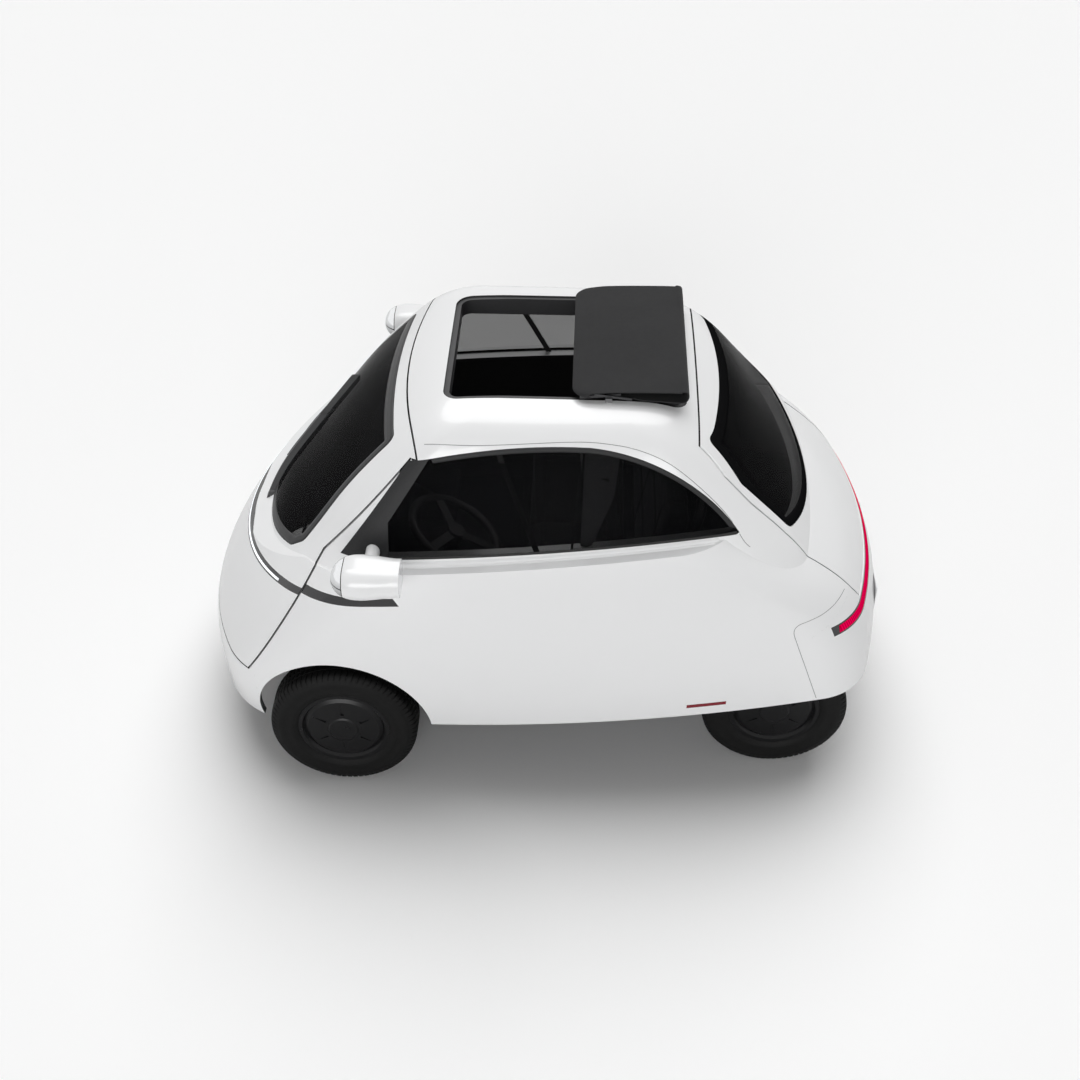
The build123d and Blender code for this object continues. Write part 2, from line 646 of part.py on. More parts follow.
def arm_plate(root_x, z):
    """A wishbone seen from above, from two roots to the eye round the kingpin."""
    with BuildSketch(Plane.XY.offset(z - ARM_SHEET / 2)) as plate:
        with BuildLine():
            Polyline((root_x, FRONT_AXLE_Y - ARM_SPREAD), (KINGPIN_X, FRONT_AXLE_Y - EYE_RADIUS + 4),
                     (KINGPIN_X, FRONT_AXLE_Y + EYE_RADIUS - 4), (root_x, FRONT_AXLE_Y + ARM_SPREAD),
                     close=True)
        make_face()
        with Locations((KINGPIN_X, FRONT_AXLE_Y)):
            Circle(EYE_RADIUS)
            Circle(KINGPIN_RADIUS + PIN_FIT, mode=Mode.SUBTRACT)
    extrude(plate.sketch, amount=ARM_SHEET)


with BuildPart() as subframe:
    flat_box(-SUBFRAME_HALF, SUBFRAME_HALF, FRONT_AXLE_Y - 80, FRONT_AXLE_Y + 80,
             SUBFRAME_BOTTOM, SUBFRAME_TOP)
    both_sides(SUBFRAME_HALF - 110, SUBFRAME_HALF - 30, FRONT_AXLE_Y - 50, FRONT_AXLE_Y + 50,
               SUBFRAME_TOP, FLOOR_BOTTOM)
    fillet(subframe.edges().filter_by(Axis.Z), radius=12)
finish(subframe.part, "subframe")

with BuildPart() as left_arms:
    arm_plate(SUBFRAME_HALF - 40, LOWER_ARM_Z)
    arm_plate(LINER_WALL_X, UPPER_ARM_Z)
with BuildPart() as front_arms:
    add(left_arms.part)
    mirror(left_arms.part, about=Plane.YZ)
finish(front_arms.part, "front_arms")

DAMPER_X, DAMPER_RADIUS = KINGPIN_X - 115.0, 20.0
with BuildPart() as front_dampers:
    for flip in (1, -1):
        tube_z(flip * DAMPER_X, FRONT_AXLE_Y, UPPER_ARM_Z + ARM_SHEET / 2,
               HUB_Z + ARCH_SPACE + LINER / 2, DAMPER_RADIUS)
        tube_z(flip * DAMPER_X, FRONT_AXLE_Y, UPPER_ARM_Z + 60, HUB_Z + ARCH_SPACE - 40,
               DAMPER_RADIUS + 16)
    add(arch_liners.part, mode=Mode.SUBTRACT)
finish(front_dampers.part, "front_dampers")

KNUCKLE_INNER, KNUCKLE_OUTER = KINGPIN_X - 16, KINGPIN_X + 26
AXLE_TIP = FRONT_WHEEL_X + 42
with BuildPart() as knuckle_left:
    flat_box(KNUCKLE_INNER, KNUCKLE_OUTER, FRONT_AXLE_Y - 38, FRONT_AXLE_Y + 38,
             LOWER_ARM_Z + ARM_SHEET / 2 + 6, UPPER_ARM_Z - ARM_SHEET / 2 - 6)
    fillet(knuckle_left.edges().filter_by(Axis.X), radius=14)
    tube_z(KINGPIN_X, FRONT_AXLE_Y, LOWER_ARM_Z - ARM_SHEET / 2, UPPER_ARM_Z + ARM_SHEET / 2,
           KINGPIN_RADIUS)
    tube_x(KNUCKLE_OUTER - 5, AXLE_TIP, FRONT_AXLE_Y, HUB_Z, AXLE_RADIUS)
    with BuildSketch(Plane.XY.offset(HUB_Z - 12)) as steering_arm:
        with BuildLine():
            Polyline((KNUCKLE_INNER + 4, FRONT_AXLE_Y + 10), (KNUCKLE_INNER - 14, FRONT_AXLE_Y + 96),
                     (KNUCKLE_INNER + 16, FRONT_AXLE_Y + 96), (KNUCKLE_OUTER - 6, FRONT_AXLE_Y + 10),
                     close=True)
        make_face()
    extrude(steering_arm.sketch, amount=16)
finish(knuckle_left.part, "knuckle_left")
mirrored(knuckle_left.part, "knuckle_right")

RACK_Y, RACK_RADIUS = FRONT_AXLE_Y + 105, 22.0
with BuildPart() as steering_rack:
    tube_x(-SUBFRAME_HALF, SUBFRAME_HALF, RACK_Y, SUBFRAME_TOP + 5, RACK_RADIUS)
    both_sides(SUBFRAME_HALF - 150, SUBFRAME_HALF - 110, FRONT_AXLE_Y + 80, RACK_Y,
               SUBFRAME_TOP - 40, SUBFRAME_TOP)
finish(steering_rack.part, "steering_rack")

# The rear arms pivot on a cross tube under the bulkhead and carry the rear axles.
ARM_INNER, ARM_OUTER = REAR_WHEEL_X - TYRE_WIDTH / 2 - 50, REAR_WHEEL_X - TYRE_WIDTH / 2 - 16
PIVOT_Y, PIVOT_Z, PIVOT_RADIUS = BULKHEAD_Y - 20, FLOOR_BOTTOM - 40, 22.0
with BuildPart() as rear_arms:
    for flip in (1, -1):
        with BuildSketch(Plane.YZ.offset(flip * (ARM_INNER + ARM_OUTER) / 2)) as arm:
            with Locations((PIVOT_Y, PIVOT_Z)):
                Circle(PIVOT_RADIUS + 12)
            with Locations((REAR_AXLE_Y, HUB_Z)):
                Circle(HUB_RADIUS)
            make_hull()
        extrude(arm.sketch, amount=(ARM_OUTER - ARM_INNER) / 2, both=True)
    tube_x(-ARM_OUTER, ARM_OUTER, PIVOT_Y, PIVOT_Z, PIVOT_RADIUS)
    tube_x(ARM_OUTER - 10, REAR_WHEEL_X + 42, REAR_AXLE_Y, HUB_Z, AXLE_RADIUS)
    tube_x(-REAR_WHEEL_X - 42, -ARM_OUTER + 10, REAR_AXLE_Y, HUB_Z, AXLE_RADIUS)
    both_sides(ARM_INNER - 90, ARM_INNER - 40, PIVOT_Y - 30, PIVOT_Y + 15, PIVOT_Z, FLOOR_BOTTOM)
finish(rear_arms.part, "rear_arms")

SPRING_Y = REAR_AXLE_Y - 110
spring_foot = HUB_Z + HUB_RADIUS - 14
with BuildPart() as rear_springs:
    for flip in (1, -1):
        spring_x = flip * (ARM_INNER + ARM_OUTER) / 2
        tube_z(spring_x, SPRING_Y, spring_foot, BOOT_BOTTOM, 12)
        tube_z(spring_x, SPRING_Y, spring_foot + 50, BOOT_BOTTOM - 40, 32)
    add(rear_arms.part, mode=Mode.SUBTRACT)
finish(rear_springs.part, "rear_springs")

with BuildPart() as motor:
    flat_box(-wide(170), wide(170), REAR_AXLE_Y - 130, REAR_AXLE_Y + 130, 330, BOOT_BOTTOM)
    fillet(motor.edges().filter_by(Axis.X), radius=40)
    flat_box(-wide(120), wide(120), REAR_AXLE_Y - 100, REAR_AXLE_Y + 100, 500, BOOT_BOTTOM)
finish(motor.part, "motor")


# ----------------------------------------------------------------------- wheels
def tyre():
    """A tyre by one turn of its section, with a flat tread and bevelled shoulders."""
    half = TYRE_WIDTH / 2
    left = [(-half + 12, RIM_RADIUS), (-half, (RIM_RADIUS + TYRE_RADIUS) / 2),
            (-half + 12, TYRE_RADIUS - 9), (-half + 27, TYRE_RADIUS)]
    with BuildSketch(Plane.XY) as section:
        with BuildLine():
            Polyline(*left, *[(-x, radius) for x, radius in reversed(left)], close=True)
        make_face()
    revolve(section.sketch, axis=Axis.X)


RIM_WALL = 9.0
CAP_GROOVES = 6
CAP_RADIUS = RIM_RADIUS - 16


def wheel():
    """A rim with a hub and a closed, radially grooved cap on its outer (+X) face."""
    half = TYRE_WIDTH / 2 - 12
    with BuildSketch(Plane.XY) as section:
        with BuildLine():
            Polyline((-half, RIM_RADIUS), (half, RIM_RADIUS), (half, RIM_RADIUS - 14),
                     (half - 10, CAP_RADIUS - 6), (half - 2, CAP_RADIUS - 20), (half + 4, 62),
                     (half + 4, 56), (half + 8, 50), (half + 8, 0), (half - 4, 0),
                     (half - 4, 40), (half - 22, CAP_RADIUS - 14), (half - 22, RIM_RADIUS - RIM_WALL),
                     (-half, RIM_RADIUS - RIM_WALL), close=True)
        make_face()
    revolve(section.sketch, axis=Axis.X)
    tube_x(-12, half - 2, 0, 0, HUB_RADIUS)
    tube_x(-12, 42 + 4, 0, 0, AXLE_RADIUS + PIN_FIT, Mode.SUBTRACT)
    for spoke in range(CAP_GROOVES):
        with Locations(Rotation(spoke * 360 / CAP_GROOVES, 0, 0)):
            with Locations((half + 8, 0, (70 + CAP_RADIUS - 14) / 2)):
                Box(18, 12, CAP_RADIUS - 14 - 70, mode=Mode.SUBTRACT)


with BuildPart() as plain_tyre:
    tyre()
with BuildPart() as plain_wheel:
    wheel()
WHEEL_PLACES = {"front_left": (FRONT_WHEEL_X, FRONT_AXLE_Y), "rear_left": (REAR_WHEEL_X, REAR_AXLE_Y)}
for corner, (x, y) in WHEEL_PLACES.items():
    place = Location((x, y, HUB_Z))
    right = corner.replace("left", "right")
    finish(plain_tyre.part.moved(place), f"tyre_{corner}")
    mirrored(plain_tyre.part.moved(place), f"tyre_{right}")
    finish(plain_wheel.part.moved(place), f"wheel_{corner}")
    mirrored(plain_wheel.part.moved(place), f"wheel_{right}")

# --------------------------------------------------------------------- controls
DRIVER_X = wide(250)
COLUMN_FOOT = (far(-560), FLOOR_TOP)
COLUMN_TOP = (far(-330), high(800))
WHEEL_RADIUS, GRIP_RADIUS = 170.0, 15.0
column_plane = Plane(origin=(DRIVER_X, COLUMN_TOP[0], COLUMN_TOP[1]), x_dir=(1, 0, 0),
                     z_dir=(0, COLUMN_TOP[0] - COLUMN_FOOT[0], COLUMN_TOP[1] - COLUMN_FOOT[1]))
column_length = sqrt((COLUMN_TOP[0] - COLUMN_FOOT[0]) ** 2 + (COLUMN_TOP[1] - COLUMN_FOOT[1]) ** 2)
with BuildPart() as steering_column:
    with BuildSketch(column_plane) as column_section:
        RectangleRounded(90, 60, 20)
    extrude(column_section.sketch, amount=-(column_length + 60))
    split(bisect_by=Plane.XY.offset(FLOOR_TOP), keep=Keep.TOP)
finish(steering_column.part, "steering_column")

with BuildPart() as steering_wheel:
    with BuildSketch(column_plane.offset(SEAT_GAP)) as hub_section:
        Circle(34)
    extrude(hub_section.sketch, amount=50)
    with BuildSketch(column_plane.offset(30)) as spokes:
        for turn in (90, 210, 330):
            with Locations(Rotation(0, 0, turn)):
                with Locations((WHEEL_RADIUS / 2, 0)):
                    Rectangle(WHEEL_RADIUS, 34)
    extrude(spokes.sketch, amount=10)
    with Locations(column_plane.offset(35).location):
        Torus(WHEEL_RADIUS, GRIP_RADIUS)
finish(steering_wheel.part, "steering_wheel")

PEDAL_LENGTH = 120.0
with BuildPart() as pedals:
    for pedal_x in (wide(180), wide(300)):
        with Locations((pedal_x, far(-640), FLOOR_TOP + PEDAL_LENGTH * 0.45)):
            Box(60, 14, PEDAL_LENGTH, rotation=(-20, 0, 0))
    split(bisect_by=Plane.XY.offset(FLOOR_TOP), keep=Keep.TOP)
finish(pedals.part, "pedals")

# ------------------------------------------------------------------- door fittings
BEAM_Z, BEAM_RADIUS = high(730), 24.0
BEAM_Y = far(-870)
with BuildPart() as door_beam:
    tube_x(-wide(610), wide(610), BEAM_Y, BEAM_Z, BEAM_RADIUS)
    flat_box(-110, 110, BEAM_Y - 10, BEAM_Y + 40, BEAM_Z, BEAM_Z + 120)
    both_sides(wide(300), wide(330), far(-1100), BEAM_Y, BEAM_Z - 20, BEAM_Z + 20)
    add(hollow.part, mode=Mode.INTERSECT)
    cut_side_view(door_zone, Mode.INTERSECT)
finish(door_beam.part, "door_beam")

# ----------------------------------------------------------- mirrors with headlamps
POD_X, POD_Y, POD_Z = wide(790), far(-553), high(1072)
POD_LENGTH, POD_WIDTH, POD_HEIGHT = 225.0, 160.0, 118.0
LAMP_SPLIT = 42.0
GLASS_DEPTH = 6.0


def pod(length, inset=0.0):
    """The housing between a narrow nose and a blunt rear, by four rounded sections."""
    sections = []
    for share, size in ((0.0, 0.30), (0.12, 0.78), (0.45, 1.0), (1.0, 0.86)):
        with BuildSketch(Plane.XZ.offset(POD_LENGTH / 2 - share * length)) as outline:
            RectangleRounded(size * POD_WIDTH - inset, size * POD_HEIGHT - inset,
                             0.45 * size * POD_HEIGHT - inset / 2)
        sections.append(outline.sketch)
    loft(sections)


with BuildPart() as pod_solid:
    pod(POD_LENGTH)
pod_place = Location((POD_X, POD_Y, POD_Z))
pod_nose = POD_Y - POD_LENGTH / 2
with BuildPart() as left_lamp:
    add(pod_solid.part.moved(pod_place))
    split(bisect_by=Plane.XZ.offset(-(pod_nose + LAMP_SPLIT)), keep=Keep.TOP)
with BuildPart() as left_glass:
    with BuildSketch(Plane.XZ.offset(-(pod_nose + POD_LENGTH))) as glass_outline:
        with Locations((POD_X, POD_Z)):
            RectangleRounded(0.86 * POD_WIDTH - 24, 0.86 * POD_HEIGHT - 20, 30)
    extrude(glass_outline.sketch, amount=GLASS_DEPTH)
STALK_Z, STALK_RADIUS = high(1040), 24.0
with BuildPart() as left_housing:
    add(pod_solid.part.moved(pod_place))
    tube_x(wide(600), POD_X, POD_Y, STALK_Z, STALK_RADIUS)
    split(bisect_by=Plane.XZ.offset(-(pod_nose + LAMP_SPLIT)), keep=Keep.BOTTOM)
    add(left_glass.part, mode=Mode.SUBTRACT)
    add(outer.part, mode=Mode.SUBTRACT)
POD_PIECES = {"mirror_housings": left_housing, "headlamps": left_lamp, "mirror_glass": left_glass}
for node, half in POD_PIECES.items():
    with BuildPart() as pair:
        add(half.part)
        mirror(half.part, about=Plane.YZ)
    finish(pair.part, node)

# ------------------------------------------------------------------------ wiper
WIPER_STAND = 14.0
WIPER_PIVOT, WIPER_JOINT = (10, 800), (-175, 1040)
WIPER_BLADE = [(-95, 905), (-265, 1160)]
with BuildPart() as glass_layer:
    loft([ring(row, -WIPER_STAND, -WIPER_STAND) for row in UPPER_RINGS])
    add(outer.part, mode=Mode.SUBTRACT)
with BuildSketch(Plane.XZ) as wiper_outline:
    for start, end, width in ((WIPER_PIVOT, WIPER_JOINT, 16), (*WIPER_BLADE, 10)):
        with BuildLine():
            Line((wide(start[0]), high(start[1])), (wide(end[0]), high(end[1])))
        trace(line_width=width)
    with Locations((wide(WIPER_PIVOT[0]), high(WIPER_PIVOT[1]))):
        Circle(18)
with BuildPart() as wiper:
    add(glass_layer.part)
    extrude(wiper_outline.sketch, amount=LENGTH, mode=Mode.INTERSECT)
finish(wiper.part, "wiper")

# ------------------------------------------------------------------ folding roof
FOLD_FRONT, FOLD_REAR, FOLD_HALF = far(103), far(488), wide(345)
FOLD_UNDER = high(1497)
FOLD_TOP_FRONT, FOLD_TOP_REAR = high(1508), high(1528)
STACK_HALF = OPENING_HALF - RIM_WIDTH - 4
with BuildPart() as folding_roof:
    with BuildSketch(Plane.YZ) as fold_side:
        with BuildLine():
            underside = REST_BAR_TOP + SEAT_GAP
            edge = Polyline((FOLD_FRONT, FOLD_UNDER), (FOLD_FRONT + 60, FOLD_UNDER - 8),
                            (FOLD_FRONT + 90, underside), (FOLD_REAR, underside),
                            (FOLD_REAR, FOLD_TOP_REAR - 12))
            crown = ((FOLD_FRONT + FOLD_REAR) / 2, (FOLD_TOP_FRONT + FOLD_TOP_REAR) / 2 + 4)
            ThreePointArc(edge @ 1, crown, edge @ 0)
        make_face()
    extrude(fold_side.sketch, amount=FOLD_HALF, both=True)
    both_sides(STACK_HALF, FOLD_HALF + 10, FOLD_FRONT - 10, FOLD_REAR + 10, high(1400),
               FOLD_UNDER, Mode.SUBTRACT)
finish(folding_roof.part, "folding_roof")
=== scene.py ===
"""Looks of the microcar: materials, glass and lamps, tread, cloth seats and the fabric roof."""
import json
import math

import bmesh
import bpy
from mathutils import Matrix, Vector
from mathutils.bvhtree import BVHTree


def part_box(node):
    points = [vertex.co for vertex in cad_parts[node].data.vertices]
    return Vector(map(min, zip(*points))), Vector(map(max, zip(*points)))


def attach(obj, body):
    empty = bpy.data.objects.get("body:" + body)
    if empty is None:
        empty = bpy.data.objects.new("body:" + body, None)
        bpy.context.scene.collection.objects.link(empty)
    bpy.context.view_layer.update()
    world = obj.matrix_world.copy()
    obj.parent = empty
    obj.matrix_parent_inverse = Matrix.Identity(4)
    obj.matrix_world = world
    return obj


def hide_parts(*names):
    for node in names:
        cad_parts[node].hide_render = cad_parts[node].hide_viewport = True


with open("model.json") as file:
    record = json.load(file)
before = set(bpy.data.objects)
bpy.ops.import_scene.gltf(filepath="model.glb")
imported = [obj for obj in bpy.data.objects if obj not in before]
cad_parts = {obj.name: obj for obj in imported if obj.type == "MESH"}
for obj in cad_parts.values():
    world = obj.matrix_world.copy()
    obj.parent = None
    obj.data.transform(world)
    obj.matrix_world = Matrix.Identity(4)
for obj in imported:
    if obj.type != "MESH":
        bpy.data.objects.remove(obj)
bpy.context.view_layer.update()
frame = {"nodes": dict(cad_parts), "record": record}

NODES = frame["nodes"]
BODY_OF = {node: body for body, nodes in frame["record"]["behaviour"]["bodies"].items() for node in nodes}

# Real sizes, in metres.
TYRE_WIDTH = 0.145
TREAD_PITCHES = 76
TREAD_DEPTH = 0.0055
GLASS_TRIM = 0.014           # dark band round the side glass
SCREEN_FRIT = 0.030          # printed border of the windscreen and rear window
FABRIC = 0.0032              # roof fabric with its backing


# ------------------------------------------------------------------ material helpers
class Shader:
    """A Principled material and short calls for its procedural inputs."""

    def __init__(self, name, color, roughness, **sockets):
        self.material = bpy.data.materials.new(name)
        self.material.use_nodes = True
        self.tree = self.material.node_tree
        self.bsdf = self.tree.nodes["Principled BSDF"]
        self.set("Base Color", (*color, 1.0))
        self.set("Roughness", roughness)
        for socket, value in sockets.items():
            self.set(socket.replace("_", " "), value)

    def set(self, socket, value):
        self.bsdf.inputs[socket].default_value = value

    def node(self, kind, **inputs):
        made = self.tree.nodes.new(kind)
        for key, value in inputs.items():
            made.inputs[key.replace("_", " ")].default_value = value
        return made

    def link(self, output, target):
        self.tree.links.new(output, target)

    def math(self, operation, first, second=None):
        made = self.tree.nodes.new("ShaderNodeMath")
        made.operation = operation
        for index, value in enumerate((first, second)):
            if value is None:
                continue
            if isinstance(value, (int, float)):
                made.inputs[index].default_value = value
            else:
                self.link(value, made.inputs[index])
        return made.outputs[0]

    def place(self):
        return self.node("ShaderNodeTexCoord").outputs["Object"]

    def noise(self, scale, detail=4.0, vector=None):
        made = self.node("ShaderNodeTexNoise", Scale=scale, Detail=detail)
        self.link(vector or self.place(), made.inputs["Vector"])
        return made.outputs["Fac"]

    def blend(self, factor, low, high):
        """Two colours mixed by a factor."""
        made = self.tree.nodes.new("ShaderNodeMix")
        made.data_type = "RGBA"
        self.link(factor, made.inputs["Factor"])
        for index, value in ((6, low), (7, high)):
            if isinstance(value, tuple):
                made.inputs[index].default_value = (*value, 1.0)
            else:
                self.link(value, made.inputs[index])
        return made.outputs[2]

    def spread(self, factor, low, high):
        """A factor from 0 to 1 turned into a range of values."""
        made = self.node("ShaderNodeMapRange", To_Min=low, To_Max=high)
        self.link(factor, made.inputs["Value"])
        return made.outputs["Result"]

    def tint(self, scale, low, high, detail=4.0):
        self.link(self.blend(self.noise(scale, detail), low, high), self.bsdf.inputs["Base Color"])

    def gloss(self, scale, low, high):
        self.link(self.spread(self.noise(scale), low, high), self.bsdf.inputs["Roughness"])

    def bump(self, height, strength, distance=0.001):
        made = self.node("ShaderNodeBump", Strength=strength, Distance=distance)
        self.link(height, made.inputs["Height"])
        self.link(made.outputs["Normal"], self.bsdf.inputs["Normal"])


def outward(shader, centre):
    """How far a face looks away from a point: 1 outside, 0 on an edge, below 0 inside."""
    geometry = shader.node("ShaderNodeNewGeometry")
    offset = shader.tree.nodes.new("ShaderNodeVectorMath")
    offset.operation = "SUBTRACT"
    shader.link(shader.place(), offset.inputs[0])
    offset.inputs[1].default_value = centre
    unit = shader.tree.nodes.new("ShaderNodeVectorMath")
    unit.operation = "NORMALIZE"
    shader.link(offset.outputs["Vector"], unit.inputs[0])
    facing = shader.tree.nodes.new("ShaderNodeVectorMath")
    facing.operation = "DOT_PRODUCT"
    shader.link(unit.outputs["Vector"], facing.inputs[0])
    shader.link(geometry.outputs["Normal"], facing.inputs[1])
    return facing.outputs["Value"]


# The headlamp's dark bar, its height and half width, and the place along the car behind which the dome is
# painted black as a painted shade ring round its foot.
LAMP_BAR_Z, LAMP_BAR_HALF, LAMP_SHADE_RING_Y = 1.076, 0.0022, -0.6265
PAINT_LOW, PAINT_HIGH = (0.845, 0.85, 0.855), (0.86, 0.863, 0.868)
# Black of the trim and lining, also used for the painted shade ring on the headlamp dome.
BLACK_TRIM_AND_SHADE = (0.012, 0.012, 0.013)
BODY_CENTRE = (0.0, 0.0, 0.45)
EDGE_LOOK = 0.2


def body_paint():
    """White gloss paint outside, black moulded lining on the inside and in the openings."""
    shader = Shader("body_paint", PAINT_HIGH, 0.28, Coat_Weight=0.5, Coat_Roughness=0.06)
    outside = shader.math("GREATER_THAN", outward(shader, BODY_CENTRE), EDGE_LOOK)
    paint = shader.blend(shader.noise(2.2), PAINT_LOW, PAINT_HIGH)
    lining = shader.blend(shader.noise(140.0), BLACK_TRIM_AND_SHADE, (0.02, 0.02, 0.021))
    shader.link(shader.blend(outside, lining, paint), shader.bsdf.inputs["Base Color"])
    shader.link(shader.spread(outside, 0.7, 0.3), shader.bsdf.inputs["Roughness"])
    shader.bump(shader.noise(900.0, 2.0), 0.02)
    return shader.material


def plain_paint():
    shader = Shader("pod_paint", PAINT_HIGH, 0.28, Coat_Weight=0.5, Coat_Roughness=0.06)
    shader.tint(2.2, PAINT_LOW, PAINT_HIGH)
    shader.bump(shader.noise(900.0, 2.0), 0.02)
    return shader.material


def moulded(name, low, high, roughness, grain=700.0, strength=0.25, **sockets):
    """Grained plastic, rubber or coated steel."""
    shader = Shader(name, high, roughness, **sockets)
    shader.tint(grain / 4, low, high)
    shader.gloss(30.0, roughness - 0.06, roughness + 0.06)
    shader.bump(shader.noise(grain), strength)
    return shader.material


def glass(name, color, alpha, bend=1.05):
    """Tinted glass: each of a pane's two faces takes its share of the light."""
    shader = Shader(name, color, 0.05, Alpha=alpha, IOR=bend)
    shader.tint(1.6, color, tuple(c * 1.5 for c in color), 2.0)
    shader.gloss(8.0, 0.03, 0.07)
    shader.material.surface_render_method = "BLENDED"
    return shader.material


def headlamp():
    """A silver dome with painted shade: painted light above, painted shade below and a painted shade ring
    round its foot, crossed by one dark bar.
    """
    shader = Shader("headlamp", (0.8, 0.81, 0.82), 0.12, Metallic=0.9)
    split = shader.node("ShaderNodeSeparateXYZ")
    shader.link(shader.place(), split.inputs[0])
    facing = shader.node("ShaderNodeSeparateXYZ")
    shader.link(shader.node("ShaderNodeNewGeometry").outputs["Normal"], facing.inputs[0])
    # Painted shade: the dome's colour runs from dark on faces that look down to bright on faces that look
    # up.
    painted_shade_by_facing = shader.node("ShaderNodeMapRange", From_Min=-0.75, From_Max=0.35)
    shader.link(facing.outputs["Z"], painted_shade_by_facing.inputs["Value"])
    # Black on the dark bar and in a painted shade ring round the dome's foot.
    offset = shader.math("ABSOLUTE", shader.math("SUBTRACT", split.outputs["Z"], LAMP_BAR_Z))
    clear = shader.math("MULTIPLY", shader.math("GREATER_THAN", offset, LAMP_BAR_HALF),
                        shader.math("LESS_THAN", split.outputs["Y"], LAMP_SHADE_RING_Y))
    silver_with_painted_shade = shader.blend(painted_shade_by_facing.outputs["Result"], (0.07, 0.07, 0.072), (0.86, 0.87, 0.88))
    shader.link(shader.blend(clear, BLACK_TRIM_AND_SHADE, silver_with_painted_shade), shader.bsdf.inputs["Base Color"])
    shader.gloss(60.0, 0.08, 0.16)
    ribs = shader.node("ShaderNodeTexWave", Scale=60.0, Distortion=0.0)
    shader.link(shader.place(), ribs.inputs["Vector"])
    shader.bump(ribs.outputs["Fac"], 0.05)
    return shader.material


def lit(name, low, high, strength):
    """A lamp's light bar: its own glow over a lens with fine ribs."""
    shader = Shader(name, high, 0.25, Emission_Strength=strength, Specular_IOR_Level=0.0)
    ribs = shader.node("ShaderNodeTexWave", Scale=40.0, Distortion=0.0)
    shader.link(shader.place(), ribs.inputs["Vector"])
    colour = shader.blend(ribs.outputs["Fac"], low, high)
    shader.link(colour, shader.bsdf.inputs["Base Color"])
    shader.link(colour, shader.bsdf.inputs["Emission Color"])
    shader.bump(ribs.outputs["Fac"], 0.15)
    return shader.material


def woven(name, low, high, pitch=0.0022, sheen=0.35):
    """Plain weave: two crossed bands set over and under, with slow colour drift."""
    shader = Shader(name, high, 0.9, Sheen_Weight=sheen, Sheen_Roughness=0.5, Specular_IOR_Level=0.15)
    place = shader.place()
    split = shader.node("ShaderNodeSeparateXYZ")
    shader.link(place, split.inputs[0])
    turn = 2 * math.pi / pitch
    waves = []
    for axis in "XYZ":
        waves.append(shader.math("SINE", shader.math("MULTIPLY", split.outputs[axis], turn)))
    crossed = shader.math("MULTIPLY", waves[0], waves[1])
    weave = shader.math("ADD", crossed, shader.math("MULTIPLY", waves[2], 0.5))
    height = shader.spread(weave, 0.0, 1.0)
    drift = shader.math("ADD", shader.noise(7.0, 6.0), shader.math("MULTIPLY", height, 0.06))
    shader.link(shader.blend(drift, low, high), shader.bsdf.inputs["Base Color"])
    shader.gloss(50.0, 0.82, 0.96)
    shader.bump(height, 0.12, 0.0004)
    return shader.material


def metal(name, low, high, roughness):
    shader = Shader(name, high, roughness, Metallic=1.0)
    shader.tint(60.0, low, high)
    shader.gloss(90.0, roughness * 0.7, roughness * 1.3)
    return shader.material


